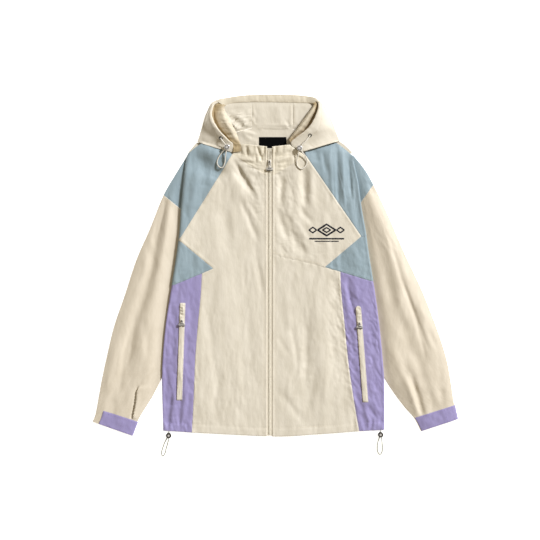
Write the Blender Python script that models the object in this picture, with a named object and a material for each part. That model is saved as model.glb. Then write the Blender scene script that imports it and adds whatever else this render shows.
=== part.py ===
"""A hooded windbreaker jacket laid flat on its back, with its sleeves drawn down and tucked behind the body.

+X is the viewer's right, +Y points to the hood and +Z up. The back rests on z = 0. Sizes are in millimetres,
and every mesh is scaled to metres as it is made.
"""

import math
from collections import namedtuple

import bmesh
import bpy
import numpy as np

MM = 0.001

# Driving sizes
WALL = 1.2            # cloth of a panel, with its seam allowances
SEAM = 0.3            # gap between two pieces at a seam
FLOOR = WALL / 2      # middle of a cloth that lies on the surface
ROLL = 5.0            # half width of the soft fold along the body's sides
ZIP_X = -13.0         # middle of the front zip
ZIP_HALF = 6.0        # from the middle of the zip to the edge of each front
TUCK = 11.5           # how far a sleeve's inner edge reaches under the body
UNDER_REACH = 30.0    # how far the side panels reach under the body
SLEEVE_EDGE = 1.6     # radius of a sleeve's pressed edges
CORD = 2.6            # diameter of the drawcords
LOCK_RADIUS = 6.6
LOCK_HEIGHT = 8.6
STRIP_WIDTH = 13.0    # cream strip over each pocket zip

# The body's silhouette: x of the left and right side folds at each height of the garment
Edge = namedtuple("Edge", "y left right")
EDGES = [
    Edge(300, -150, 145),
    Edge(296, -168, 152.5),
    Edge(288, -189, 163),
    Edge(280, -197, 173),
    Edge(270, -204, 185.5),
    Edge(260, -207, 184.8),
    Edge(198, -215.5, 196),
    Edge(137, -221.5, 204),
    Edge(80, -225, 214),
    Edge(29, -231.5, 221),
    Edge(-46, -243.5, 233),
    Edge(-130, -257, 244.5),
    Edge(-206, -264.5, 252.5),
    Edge(-263, -267, 257),
    Edge(-322, -266, 258.5),
    Edge(-405, -263.5, 258),
]

# Heights of the cloth's middle: under the side fold, over it, at mid panel and along the zip
Level = namedtuple("Level", "y under side middle zip")
LEVELS = [
    Level(300, 0.6, 3.6, 6.0, 23.0),
    Level(280, 0.7, 3.8, 9.0, 22.0),
    Level(262, 4.1, 6.6, 11.0, 18.5),
    Level(240, 4.1, 8.6, 12.0, 16.0),
    Level(211, 4.1, 9.8, 11.5, 13.0),
    Level(150, 4.1, 10.8, 10.5, 10.5),
    Level(60, 4.1, 11.2, 10.0, 9.0),
    Level(-60, 4.1, 11.2, 9.5, 8.0),
    Level(-200, 4.1, 10.5, 9.0, 7.5),
    Level(-262, 4.1, 9.8, 8.5, 7.0),
    Level(-310, 1.2, 6.6, 7.2, 6.2),
    Level(-360, 0.6, 4.8, 5.2, 5.2),
    Level(-410, 0.6, 4.2, 4.2, 4.2),
]

# Largest folds of the fronts: a line from (x0, y0) to (x1, y1), its half width, and its height
Fold = namedtuple("Fold", "x0 y0 x1 y1 width height")
BODY_FOLDS = [
    Fold(-92, 238, -52, 178, 11, -3.2),
    Fold(-112, 222, -70, 150, 16, 1.6),
    Fold(36, 250, 12, 176, 12, -2.6),
    Fold(74, 236, 72, 158, 10, -1.8),
    Fold(56, 230, 52, 110, 15, 1.8),
    Fold(20, 110, 60, 20, 16, -1.8),
    Fold(150, 220, 168, 120, 14, -2.0),
    Fold(-150, 120, -120, -160, 26, 1.6),
    Fold(-80, 60, -90, -330, 24, -1.4),
    Fold(60, -90, 80, -260, 18, -2.0),
    Fold(100, -60, 120, -330, 20, 1.8),
    Fold(140, -60, 170, -300, 13, -1.6),
    Fold(-150, -200, -160, -370, 16, 1.4),
    Fold(20, -250, 50, -380, 16, 1.5),
]

# Hem line of the fronts
Hem = namedtuple("Hem", "x y")
HEM = [
    Hem(-275, -389.5),
    Hem(-233, -392.5),
    Hem(-197, -394.5),
    Hem(-113, -399),
    Hem(-40, -402.5),
    Hem(12, -404),
    Hem(91, -399.5),
    Hem(154, -395),
    Hem(198, -391.5),
    Hem(270, -388),
]

# Corners of the seams
Corner = namedtuple("Corner", "x y")
LEFT_NECK = Corner(-101, 262)
LEFT_ARMHOLE = Corner(-226.5, 60)
LEFT_POINT = Corner(-146, -7)
LEFT_SIDE_TOP = Corner(-172.5, -18.5)
RIGHT_NECK = Corner(73, 259)
RIGHT_ARMHOLE = Corner(203.5, 69)
RIGHT_POINT = Corner(117.5, -3.5)
RIGHT_SIDE_TOP = Corner(154, -14.5)
NECK_AT_ZIP = 211.0    # y of the neck seam at the zip
CHEST_AT_ZIP = 26.5    # y of the right chest seam at the zip
ZIP_BOTTOM = -402.0
ZIP_TOP = 274.0
SLIDER_Y = 244.0
PANEL_TOP_AT_FOLD = {-1: -46.0, 1: -36.5}    # y of the lilac panels' top edge at each side fold
BACK_NECK = [Corner(-187, 289.6), Corner(-183, 290.3), Corner(-120, 307.3), Corner(-55, 325.3),
             Corner(41.5, 321.9), Corner(100, 307), Corner(153, 293.4), Corner(162, 288)]

# Side seams between the cream fronts and the lilac side panels
SideSeam = namedtuple("SideSeam", "y left right")
SIDE_SEAMS = [
    SideSeam(-16, -172.5, 154),
    SideSeam(-57, -174.5, 155.8),
    SideSeam(-128, -181, 163),
    SideSeam(-223, -188.5, 172.5),
    SideSeam(-310, -192, 184.8),
    SideSeam(-396, -196.6, 199.5),
]

# Stations down each sleeve: its outer edge, its inner edge (where it is free of the body) and its loft
Station = namedtuple("Station", "outer_x outer_y inner_x inner_y loft")
UNDER_BODY = None
LEFT_SLEEVE = [
    Station(-207, 261, UNDER_BODY, 252, 3.6),
    Station(-235, 216, UNDER_BODY, 200, 6.5),
    Station(-263.5, 166.5, UNDER_BODY, 124, 9.5),
    Station(-295, 89, UNDER_BODY, 47, 11),
    Station(-328, 13, UNDER_BODY, -20, 11.5),
    Station(-356, -72, UNDER_BODY, -103, 11.5),
    Station(-381.5, -147, UNDER_BODY, -178, 11),
    Station(-400.5, -227.5, UNDER_BODY, -238, 10),
    Station(-409.5, -270, -270, -271, 9),
    Station(-416, -305, -289, -309, 8.5),
    Station(-424, -349, -321, -361, 7),
    Station(-431.4, -369, -338, -402, 5.5),
]
RIGHT_SLEEVE = [
    Station(185, 261, UNDER_BODY, 252, 3.6),
    Station(210, 230, UNDER_BODY, 206, 6.5),
    Station(232.5, 191.5, UNDER_BODY, 135, 9.5),
    Station(271, 110, UNDER_BODY, 53, 11),
    Station(305.5, 30, UNDER_BODY, -22, 11.5),
    Station(343.5, -50.5, UNDER_BODY, -100, 11.5),
    Station(369, -113, UNDER_BODY, -164, 11),
    Station(391, -173, UNDER_BODY, -216, 10.5),
    Station(407, -227, 254, -258, 9.5),
    Station(416, -277, 280, -300, 8.5),
    Station(421, -312, 306.5, -335, 7.5),
    Station(424.5, -331, 329.5, -361.5, 6.5),
    Station(431.4, -363, 345, -391.5, 5.5),
]
CAP_STATION = 2        # the cap seam's station on both sleeves
LEFT_TAB_INNER = 10.2  # stations where the left cuff's tab begins, at the inner edge and at the outer
LEFT_TAB_OUTER = 9.8

# Soft lengthwise folds of a sleeve: place across it (0 inner, 1 outer), start and end station,
# width and height
SleeveFold = namedtuple("SleeveFold", "across start end width height")
SLEEVE_FOLDS = {
    -1: [
        SleeveFold(0.35, 2.5, 7.5, 14, -2.0),
        SleeveFold(0.62, 1.2, 6.5, 15, 1.5),
        SleeveFold(0.72, 5.5, 10.5, 10, -1.8),
        SleeveFold(0.42, 7.0, 11.0, 11, 1.4),
    ],
    1: [
        SleeveFold(0.40, 2.0, 7.0, 14, -2.0),
        SleeveFold(0.66, 1.5, 6.0, 16, 1.5),
        SleeveFold(0.30, 6.0, 11.0, 10, 1.5),
        SleeveFold(0.60, 6.5, 12.0, 10, -1.8),
    ],
}

# Rows of the hood from the neck seam (first) to its top corner (last), for each side: the seam with the
# centre panel, the side fold, a middle point of the outer face, the rim of the mouth and the rim's height
HoodRow = namedtuple("HoodRow", "seam_x seam_y fold_x fold_y middle_x middle_y rim_x rim_y rim_z")
LEFT_HOOD = [
    HoodRow(-55, 326, -183, 292, -138, 279, -101, 267, 13),
    HoodRow(-55, 333, -181, 298, -140, 288, -100.5, 285, 17),
    HoodRow(-55, 340, -178, 307, -143, 299, -110, 293.5, 21),
    HoodRow(-55, 350, -173, 325, -147.5, 315, -121.5, 305, 25),
    HoodRow(-55, 360, -169, 340, -152, 329.5, -134.5, 319, 27),
    HoodRow(-55, 369, -167, 346.5, -154.5, 337.5, -141, 328.5, 26.5),
    HoodRow(-55, 377, -165, 353, -156, 345.5, -146.5, 338.5, 25),
    HoodRow(-55, 385.5, -160.5, 363.5, -156, 359, -151, 354.5, 20),
    HoodRow(-55, 393, -156, 374, -152.5, 371.5, -149, 369.5, 14),
    HoodRow(-55, 399, -150, 384.5, -147.5, 382.5, -145, 380.5, 9),
    HoodRow(-55, 403.5, -137.5, 392, -136.5, 389, -135.5, 386, 6),
]
RIGHT_HOOD = [
    HoodRow(41.5, 322.5, 153, 294.5, 108, 281.5, 64, 268, 15),
    HoodRow(41.5, 329.5, 150.5, 300, 100, 285, 52, 274.5, 17),
    HoodRow(41.5, 336.5, 147.5, 307, 94, 294, 38, 286.5, 20),
    HoodRow(41.5, 346, 143, 318, 100, 308, 52.5, 301, 23),
    HoodRow(41.5, 355.5, 139, 329, 108.5, 320, 71, 314.5, 26),
    HoodRow(41.5, 365, 134.5, 340.5, 112, 333, 85.5, 330, 27),
    HoodRow(41.5, 374, 129, 352.5, 113, 350, 95.5, 348.5, 26),
    HoodRow(41.5, 383, 122.5, 365.5, 112, 364.5, 101.5, 364, 22),
    HoodRow(41.5, 391, 116, 377.5, 110, 377.5, 104, 377.5, 16),
    HoodRow(41.5, 398, 109.5, 387, 106, 386, 102.5, 385, 10),
    HoodRow(41.5, 403.5, 97.5, 395, 97.5, 392, 97.5, 389, 6),
]
HOOD_ROLL = 1.7        # radius of the hood's side folds

# Casing round the mouth at the hood's rows: its inner edge, and its height at the rim and at that edge
FacingRow = namedtuple("FacingRow", "row x y rim_z z")
LEFT_FACING = [
    FacingRow(0, -79, 269, 14.8, 16.9),
    FacingRow(1, -81, 284, 17.4, 17.0),
    FacingRow(2, -86, 296, 20, 15),
    FacingRow(3, -90, 308, 24, 11),
    FacingRow(4, -96, 322, 26, 9),
    FacingRow(5, -101, 331, 25.5, 8.5),
    FacingRow(6, -106, 341, 24, 8),
    FacingRow(7, -113, 354, 19, 7),
    FacingRow(8, -118, 366, 13, 6),
    FacingRow(9, -120, 375, 8, 5),
    FacingRow(10, -116, 378.5, 5, 4),
]
RIGHT_FACING = [
    FacingRow(2, 33, 297, 19, 12),
    FacingRow(3, 41, 308.5, 22, 10),
    FacingRow(4, 52, 323, 25, 9),
    FacingRow(5, 63.5, 340, 26, 8.5),
    FacingRow(6, 75, 355, 25, 8),
    FacingRow(7, 84.5, 368, 21, 7),
    FacingRow(8, 90, 376.5, 15, 6),
    FacingRow(9, 91, 381, 9, 5),
    FacingRow(10, 87, 382.5, 5, 4),
]
TOP_BAND_OUTER = [Corner(-134.5, 392), Corner(-115, 396.5), Corner(-84, 401.5), Corner(-36, 404.4),
                  Corner(24, 404.2), Corner(70, 401.5), Corner(96, 396)]
TOP_BAND_INNER = [Corner(-115, 380.5), Corner(-100, 384), Corner(-60, 386.5), Corner(-19, 386.8),
                  Corner(37.5, 385.5), Corner(65, 385), Corner(85, 384)]

# Drawcords, as points in plan
LEFT_LOCK = Corner(-113, 278.5)
RIGHT_LOCK = Corner(57.5, 276)
HEM_LEFT_LOCK = Corner(-251.3, -401.5)
HEM_RIGHT_LOCK = Corner(249.5, -399.5)
HOOD_LOCK_REST = {-1: 19.0, 1: 20.0}    # height of the cloth bunched under each hood lock
LEFT_EYELET = (2.35, 0.78)     # row and share of the way from the hood's side fold to its rim
RIGHT_EYELET = (3.15, 0.72)
HOOD_LOOPS = {
    "left": [(-118.9, 273.9), (-127, 264), (-134.5, 252), (-136.5, 241), (-131, 232), (-124.5, 231),
             (-119.5, 239), (-117, 253), (-114.6, 271.8)],
    "right": [(61.9, 269.9), (70.5, 259), (75, 246), (71, 234), (61, 228), (53.5, 233.5),
              (51, 246), (53.5, 258.5), (55.5, 269.3)],
}
HEM_LOOPS = {
    "left": [(-255.4, -407.6), (-262, -418), (-268, -432), (-269.5, -444), (-265, -450.5), (-259.5, -446),
             (-256, -432), (-252.5, -419), (-250.9, -409.0)],
    "right": [(246.4, -406.5), (243.5, -416), (242, -429), (243.5, -441), (248.5, -446.5), (253, -441),
              (254, -429), (252.8, -416), (251.4, -407.0)],
}

# Pocket zips: top and bottom of the strip's middle
POCKETS = {
    "left": (Corner(-218, -88), Corner(-226, -318), -131.0),
    "right": (Corner(196, -95), Corner(213.5, -322.5), -137.0),
}

Finish = namedtuple("Finish", "name colour roughness metallic")
CREAM = Finish("cream_nylon", (0.84, 0.77, 0.63), 0.6, 0.0)
BLUE = Finish("grey_blue_nylon", (0.36, 0.47, 0.54), 0.6, 0.0)
LILAC = Finish("lilac_nylon", (0.38, 0.31, 0.60), 0.6, 0.0)
CREAM_TAPE = Finish("cream_zip_tape", (0.78, 0.71, 0.56), 0.7, 0.0)
BLACK = Finish("black_label", (0.01, 0.01, 0.012), 0.6, 0.0)
SILVER = Finish("silver_metal", (0.62, 0.62, 0.63), 0.3, 1.0)
ELASTIC = Finish("off_white_elastic", (0.85, 0.82, 0.74), 0.7, 0.0)


# ---------------------------------------------------------------- curves and tables

def smooth(rows, column, at, key="y"):
    """A column's value at each place along the key column, on a smooth curve through the rows."""
    places = np.array([getattr(row, key) for row in rows], float)
    values = np.array([getattr(row, column) for row in rows], float)
    order = np.argsort(places)
    places, values = places[order], values[order]
    slopes = np.gradient(values, places)
    at = np.clip(np.asarray(at, float), places[0], places[-1])
    i = np.clip(np.searchsorted(places, at, side="right") - 1, 0, len(places) - 2)
    step = places[i + 1] - places[i]
    t = (at - places[i]) / step
    rise = t * t * (3 - 2 * t)
    return (values[i] * (1 - rise) + values[i + 1] * rise
            + step * (t * (1 - t) ** 2 * slopes[i] - t * t * (1 - t) * slopes[i + 1]))


def along(rows, column, at):
    """A column's value at a fractional row number."""
    values = np.array([getattr(row, column) for row in rows], float)
    slopes = np.gradient(values)
    at = np.clip(np.asarray(at, float), 0, len(values) - 1)
    i = np.clip(np.floor(at).astype(int), 0, len(values) - 2)
    t = at - i
    rise = t * t * (3 - 2 * t)
    return (values[i] * (1 - rise) + values[i + 1] * rise
            + t * (1 - t) ** 2 * slopes[i] - t * t * (1 - t) * slopes[i + 1])


def soft_step(t):
    t = np.clip(t, 0, 1)
    return t * t * (3 - 2 * t)


def polyline(corners, counts):
    """Points along straight runs between corners, with each run cut into its own count of steps."""
    points = [corners[0]]
    for start, end, count in zip(corners[:-1], corners[1:], counts):
        for i in range(1, count + 1):
            points.append(tuple(np.array(start) + (np.array(end) - np.array(start)) * i / count))
    return np.array(points, float)


def resampled(corners, count):
    """Count + 1 points evenly spaced along a smooth curve through the corners."""
    corners = np.array(corners, float)
    length = np.concatenate([[0], np.cumsum(np.linalg.norm(np.diff(corners, axis=0), axis=1))])
    slopes = np.gradient(corners, length, axis=0)
    at = np.linspace(0, length[-1], count + 1)
    i = np.clip(np.searchsorted(length, at, side="right") - 1, 0, len(length) - 2)
    step = (length[i + 1] - length[i])[:, None]
    t = (at - length[i])[:, None] / step
    rise = t * t * (3 - 2 * t)
    return (corners[i] * (1 - rise) + corners[i + 1] * rise
            + step * (t * (1 - t) ** 2 * slopes[i] - t * t * (1 - t) * slopes[i + 1]))


def coons(bottom, top, left, right):
    """A grid of points inside four border chains: bottom and top run rightwards, left and right upwards."""
    u = np.linspace(0, 1, len(bottom))[None, :, None]
    v = np.linspace(0, 1, len(left))[:, None, None]
    between_rows = (1 - v) * bottom[None] + v * top[None]
    between_columns = (1 - u) * left[:, None] + u * right[:, None]
    corners = ((1 - u) * (1 - v) * bottom[0] + u * (1 - v) * bottom[-1]
               + (1 - u) * v * top[0] + u * v * top[-1])
    return between_rows + between_columns - corners


def border_places(rows, columns):
    """Row and column of each border point of a grid, once round it."""
    return ([(0, j) for j in range(columns - 1)] + [(i, columns - 1) for i in range(rows - 1)]
            + [(rows - 1, j) for j in range(columns - 1, 0, -1)] + [(i, 0) for i in range(rows - 1, 0, -1)])


def inset(grid, distance):
    """The grid with its border moved in by a distance, as a seam leaves it."""
    loop = border_places(*grid.shape[:2])
    points = np.array([grid[place] for place in loop])
    ahead = np.roll(points, -1, axis=0) - points
    ahead /= np.linalg.norm(ahead, axis=1)[:, None]
    normals = np.stack([-ahead[:, 1], ahead[:, 0]], axis=1)
    before = np.roll(normals, 1, axis=0)
    share = np.maximum(1 + (normals * before).sum(axis=1), 0.5)
    moved = points + distance * (normals + before) / share[:, None]
    result = grid.copy()
    for place, point in zip(loop, moved):
        result[place] = point
    return result


# ---------------------------------------------------------------- the body's surface

def side_of(x):
    return np.where(x < ZIP_X, -1.0, 1.0)


def fold_x(side, y):
    return np.where(side < 0, smooth(EDGES, "left", y), smooth(EDGES, "right", y))


def fold_relief(folds, x, y):
    """Sum of soft ridges and troughs, each fading out towards both ends of its line."""
    total = np.zeros(np.broadcast(x, y).shape)
    for fold in folds:
        run = np.array([fold.x1 - fold.x0, fold.y1 - fold.y0], float)
        length = np.hypot(*run)
        run /= length
        ahead = ((x - fold.x0) * run[0] + (y - fold.y0) * run[1]) / length
        across = (x - fold.x0) * run[1] - (y - fold.y0) * run[0]
        ends = soft_step(ahead / 0.35 + 0.3) * soft_step((1 - ahead) / 0.35 + 0.3)
        total = total + fold.height * ends * np.exp(-(across / fold.width) ** 2)
    return total


def front_height(x, y, inward):
    """Height of the cloth's middle on the front, at a distance inward from the side fold."""
    from_zip = np.abs(x - ZIP_X)
    side = smooth(LEVELS, "side", y)
    height = side + (smooth(LEVELS, "middle", y) - side) * soft_step((inward - ROLL) / 65)
    height = height + (smooth(LEVELS, "zip", y) - height) * soft_step((100 - from_zip) / 70)
    fade = soft_step((inward - ROLL - 8) / 25) * soft_step((from_zip - 12) / 20)
    return height + fold_relief(BODY_FOLDS, x, y) * fade


def body_point(x, y):
    """A point of the cloth's middle. Past the side fold, x goes on round the roll and in under the body."""
    side = side_of(x)
    edge = fold_x(side, y)
    inward = side * (edge - x)
    under = smooth(LEVELS, "under", y)
    half = (smooth(LEVELS, "side", y) - under) / 2
    arc = math.pi * np.sqrt((ROLL ** 2 + half ** 2) / 2)
    past = ROLL - inward
    angle = math.pi / 2 - math.pi * np.clip(past / arc, 0, 1)
    beneath = np.maximum(past - arc, 0)
    from_edge = np.where(past > 0, ROLL - ROLL * np.cos(angle) + beneath, inward)
    low = under + (FLOOR - under) * soft_step((beneath + ROLL - 13) / 12)
    rolled = np.where(beneath > 0, low, under + half + half * np.sin(angle))
    height = np.where(past > 0, rolled, front_height(x, y, np.maximum(inward, ROLL)))
    return np.stack(np.broadcast_arrays(edge - side * from_edge, y, height), axis=-1)


def body_grid(grid, lift=0.0):
    """Cloth points and unit normals for a grid laid out in the unrolled plane of the body."""
    x, y = grid[..., 0], grid[..., 1]
    step = 0.4
    across = body_point(x + step, y) - body_point(x - step, y)
    ahead = body_point(x, y + step) - body_point(x, y - step)
    normals = np.cross(across, ahead)
    normals /= np.linalg.norm(normals, axis=-1)[..., None]
    return body_point(x, y) + normals * lift, normals


def unrolled_x(side, y, beneath):
    """Where a line lies in the unrolled plane that is this far beneath the body, in from the roll's end."""
    half = (smooth(LEVELS, "side", y) - smooth(LEVELS, "under", y)) / 2
    arc = math.pi * np.sqrt((ROLL ** 2 + half ** 2) / 2)
    return fold_x(side, y) - side * (ROLL - arc - beneath)


# ---------------------------------------------------------------- making objects

MATERIALS = {}


def material(finish):
    if finish.name not in MATERIALS:
        made = bpy.data.materials.new(finish.name)
        made.use_nodes = True
        shader = made.node_tree.nodes["Principled BSDF"]
        shader.inputs["Base Color"].default_value = (*finish.colour, 1)
        shader.inputs["Roughness"].default_value = finish.roughness
        shader.inputs["Metallic"].default_value = finish.metallic
        made.diffuse_color = (*finish.colour, 1)
        MATERIALS[finish.name] = made
    return MATERIALS[finish.name]


def add_mesh(name, points, faces, finish):
    mesh = bpy.data.meshes.new(name)
    mesh.from_pydata([tuple(point * MM) for point in np.reshape(points, (-1, 3))], [], faces)
    mesh.materials.append(material(finish))
    made = bmesh.new()
    made.from_mesh(mesh)
    bmesh.ops.recalc_face_normals(made, faces=made.faces)
    made.to_mesh(mesh)
    made.free()
    thing = bpy.data.objects.new(name, mesh)
    bpy.context.scene.collection.objects.link(thing)
    mesh.shade_smooth()
    mesh.set_sharp_from_angle(angle=math.radians(40))
    return thing


def add_sheet(name, points, normals, finish, wall=WALL):
    """A closed cloth wall on both sides of a grid of points."""
    rows, columns = points.shape[:2]
    outer = points + normals * wall / 2
    inner = points - normals * wall / 2
    count = rows * columns

    def at(i, j):
        return i * columns + j

    faces = []
    for i in range(rows - 1):
        for j in range(columns - 1):
            quad = [at(i, j), at(i, j + 1), at(i + 1, j + 1), at(i + 1, j)]
            faces.append(quad)
            faces.append([corner + count for corner in reversed(quad)])
    border = [at(i, j) for i, j in border_places(rows, columns)]
    for a, b in zip(border, border[1:] + border[:1]):
        faces.append([a, a + count, b + count, b])
    return add_mesh(name, np.concatenate([outer.reshape(-1, 3), inner.reshape(-1, 3)]), faces, finish)


def add_body_panel(name, grid, finish):
    points, normals = body_grid(inset(grid, SEAM / 2))
    return add_sheet(name, points, normals, finish)


def add_free_sheet(name, points, finish, wall=WALL):
    """A cloth wall on a grid in space, with normals taken from the grid."""
    across = np.gradient(points, axis=1)
    ahead = np.gradient(points, axis=0)
    normals = np.cross(across, ahead)
    normals /= np.linalg.norm(normals, axis=-1)[..., None]
    return add_sheet(name, points, normals, finish, wall)


# ---------------------------------------------------------------- fronts, yokes and side panels

SIDE_ROWS = 15
UPPER_ROWS = 8
LOWER_ROWS = 5


def hem_y(x):
    return smooth(HEM, "y", x, key="x")


def side_seam(side, count=SIDE_ROWS):
    """The side seam from the hem up, in the unrolled plane."""
    column = "left" if side < 0 else "right"
    top = LEFT_SIDE_TOP if side < 0 else RIGHT_SIDE_TOP
    x_hem = smooth(SIDE_SEAMS, column, SIDE_SEAMS[-1].y)
    y = np.linspace(float(hem_y(x_hem)), top.y, count + 1)
    return np.stack([smooth(SIDE_SEAMS, column, y), y], axis=1)


def hem_run(x_start, x_end, count):
    x = np.linspace(x_start, x_end, count + 1)
    return np.stack([x, hem_y(x)], axis=1)


def straight(start, end, count):
    return polyline([tuple(start), tuple(end)], [count])


def front_left():
    seam = side_seam(-1)
    edge = ZIP_X - ZIP_HALF
    left = np.concatenate([
        seam,
        polyline([LEFT_SIDE_TOP, LEFT_POINT, LEFT_ARMHOLE, LEFT_NECK], [1, LOWER_ROWS, UPPER_ROWS])[1:],
    ])
    zip_heights = [ZIP_BOTTOM, LEFT_SIDE_TOP.y, LEFT_POINT.y, LEFT_ARMHOLE.y, NECK_AT_ZIP]
    right = polyline([(edge, y) for y in zip_heights], [SIDE_ROWS, 1, LOWER_ROWS, UPPER_ROWS])
    bottom = hem_run(seam[0, 0], edge, 9)
    right[0] = bottom[-1]
    add_body_panel("front_left", coons(bottom, straight(left[-1], right[-1], 9), left, right), CREAM)


def front_right():
    edge = ZIP_X + ZIP_HALF
    seam = side_seam(1)
    chest = polyline([(edge, CHEST_AT_ZIP), RIGHT_POINT, RIGHT_SIDE_TOP], [6, 2])
    left = straight((edge, ZIP_BOTTOM), (edge, CHEST_AT_ZIP), SIDE_ROWS)
    bottom = hem_run(edge, seam[0, 0], 8)
    left[0] = bottom[0]
    add_body_panel("front_right_lower", coons(bottom, chest, left, seam), CREAM)
    left = polyline([(edge, CHEST_AT_ZIP), (edge, RIGHT_ARMHOLE.y), (edge, NECK_AT_ZIP)],
                    [LOWER_ROWS, UPPER_ROWS])
    right = polyline([RIGHT_POINT, RIGHT_ARMHOLE, RIGHT_NECK], [LOWER_ROWS, UPPER_ROWS])
    grid = coons(straight(left[0], right[0], 7), straight(left[-1], right[-1], 7), left, right)
    add_body_panel("front_right_upper", grid, CREAM)


def collars():
    for name, side, neck, top_end in (("collar_left", -1, LEFT_NECK, Corner(-88, 286)),
                                      ("collar_right", 1, RIGHT_NECK, Corner(36, 283))):
        edge = ZIP_X + side * ZIP_HALF
        seam = straight((edge, NECK_AT_ZIP), neck, 6)
        top = straight((edge, ZIP_TOP + 4.5), top_end, 6)
        inner = straight(seam[0], top[0], 4)
        outer = straight(seam[-1], top[-1], 4)
        if side < 0:
            grid = coons(seam[::-1], top[::-1], outer, inner)
        else:
            grid = coons(seam, top, inner, outer)
        add_body_panel(name, grid, CREAM)


def shoulder_yoke(side):
    """The yoke from its long diagonal seam out to the armhole, turned under along the sleeve."""
    left = side < 0
    armhole = LEFT_ARMHOLE if left else RIGHT_ARMHOLE
    neck = LEFT_NECK if left else RIGHT_NECK
    shoulder = Corner(-203, 265.5) if left else Corner(181.5, 262)
    diagonal = straight(armhole, neck, UPPER_ROWS)
    y = np.linspace(armhole.y + (1.0 if left else 0.0), 250, UPPER_ROWS)
    armhole_line = np.stack([unrolled_x(side, y, 1.0), y], axis=1)
    outer = np.concatenate([armhole_line, [shoulder]])
    inner_end = 5 if left else 8
    bottom = resampled([diagonal[0], outer[0]], inner_end)
    under_hood = [hood_outer_point(side, 0, share)[:2] - (0, 0.55) for share in (0.93, 0.75, 0.5, 0.3, 0.12)]
    tip = under_hood[-1]
    shoulder_seam = ((tip[0] + shoulder.x) / 2, (tip[1] + shoulder.y) / 2 + 2.5)
    top = resampled([neck, *under_hood, shoulder_seam, shoulder], inner_end)
    if left:
        grid = coons(bottom[::-1], top[::-1], outer, diagonal)
    else:
        grid = coons(bottom, top, diagonal, outer)
    name = "shoulder_yoke_left" if left else "shoulder_yoke_right"
    add_body_panel(name, grid, BLUE)


def side_wedge(side):
    left = side < 0
    armhole, point, seam_top = ((LEFT_ARMHOLE, LEFT_POINT, LEFT_SIDE_TOP) if left
                                else (RIGHT_ARMHOLE, RIGHT_POINT, RIGHT_SIDE_TOP))
    fold_bottom = PANEL_TOP_AT_FOLD[side]
    y = np.linspace(fold_bottom, armhole.y, LOWER_ROWS + 1)
    outer = np.stack([unrolled_x(side, y, UNDER_REACH - ROLL), y], axis=1)
    blunt = 0.03
    tip_low = tuple(np.array(point) + (np.array(seam_top) - np.array(point)) * blunt)
    tip_high = tuple(np.array(point) + (np.array(armhole) - np.array(point)) * blunt)
    inner = straight(tip_low, tip_high, LOWER_ROWS)
    fold = fold_x(side, fold_bottom)
    low = polyline([tip_low, tuple(seam_top), (float(fold) - side * ROLL, fold_bottom), tuple(outer[0])],
                   [1, LOWER_ROWS - 1, 6])
    high = polyline([tip_high, tuple(armhole), tuple(outer[-1])], [LOWER_ROWS, 6])
    grid = coons(low[::-1], high[::-1], outer, inner) if left else coons(low, high, inner, outer)
    add_body_panel("side_wedge_left" if left else "side_wedge_right", grid, BLUE)


def side_panel(side):
    left = side < 0
    seam = side_seam(side)
    fold_top = PANEL_TOP_AT_FOLD[side]
    start_y = float(hem_y(fold_x(side, HEM[0].y)))
    y = np.linspace(start_y, fold_top, SIDE_ROWS + 1)
    outer = np.stack([unrolled_x(side, y, UNDER_REACH - ROLL), y], axis=1)
    fold_low = (float(fold_x(side, start_y)) - side * ROLL, start_y)
    fold_high = (float(fold_x(side, fold_top)) - side * ROLL, fold_top)
    bottom = polyline([tuple(seam[0]), fold_low, tuple(outer[0])], [4, 6])
    top = polyline([tuple(seam[-1]), fold_high, tuple(outer[-1])], [4, 6])
    if left:
        grid = coons(bottom[::-1], top[::-1], outer, seam)
    else:
        grid = coons(bottom, top, seam, outer)
    add_body_panel("side_panel_left" if left else "side_panel_right", grid, LILAC)


def back_panel():
    """The back, flat on the surface, from hem to neck seam."""
    middle_x = -12.0
    by_panel = UNDER_REACH + SEAM
    by_sleeve = TUCK + 2.4

    def between(y, left_reach, right_reach):
        left = float(fold_x(-1.0, y)) + left_reach
        right = float(fold_x(1.0, y)) - right_reach
        return [(left, y), ((left + right) / 2, y), (right, y)]

    rows = [[(EDGES[-1].left + by_panel, -391), (middle_x, -400), (EDGES[-1].right - by_panel, -389.5)]]
    rows += [between(y, by_panel, by_panel) for y in (-310, -200, -90, 10, LEFT_ARMHOLE.y + 0.3)]
    rows += [between(y, by_sleeve, by_panel) for y in (LEFT_ARMHOLE.y + 2, RIGHT_ARMHOLE.y + 0.8)]
    rows += [between(y, by_sleeve, by_sleeve) for y in (RIGHT_ARMHOLE.y + 2.5, 150, 215, 263.2)]
    rows.append([(-206.5, 266.0), (middle_x, 270), (183.4, 266.0)])
    rows.append([(-199, 275.5), (middle_x, 280), (175.2, 275.5)])
    chains = [polyline(row, [6, 6]) for row in rows]
    top = polyline(BACK_NECK, [1, 2, 2, 3, 2, 1, 1])
    grid = np.array(chains + [top])
    points = np.concatenate([grid, np.full(grid.shape[:2] + (1,), FLOOR)], axis=-1)
    normals = np.zeros_like(points)
    normals[..., 2] = 1
    add_sheet("back_panel", points, normals, CREAM)


# ---------------------------------------------------------------- sleeves

def filled_in(stations, side):
    """The stations with each inner edge that lies under the body worked out from the side fold."""
    result = []
    for row in stations:
        inner_x = row.inner_x
        if inner_x is UNDER_BODY:
            inner_x = float(fold_x(side, row.inner_y)) - side * TUCK
        result.append(row._replace(inner_x=inner_x))
    return result


SLEEVES = {-1: filled_in(LEFT_SLEEVE, -1.0), 1: filled_in(RIGHT_SLEEVE, 1.0)}
SLEEVE_ARC = 4
SLEEVE_TOP = 7
SLEEVE_BOTTOM = 3


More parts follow.
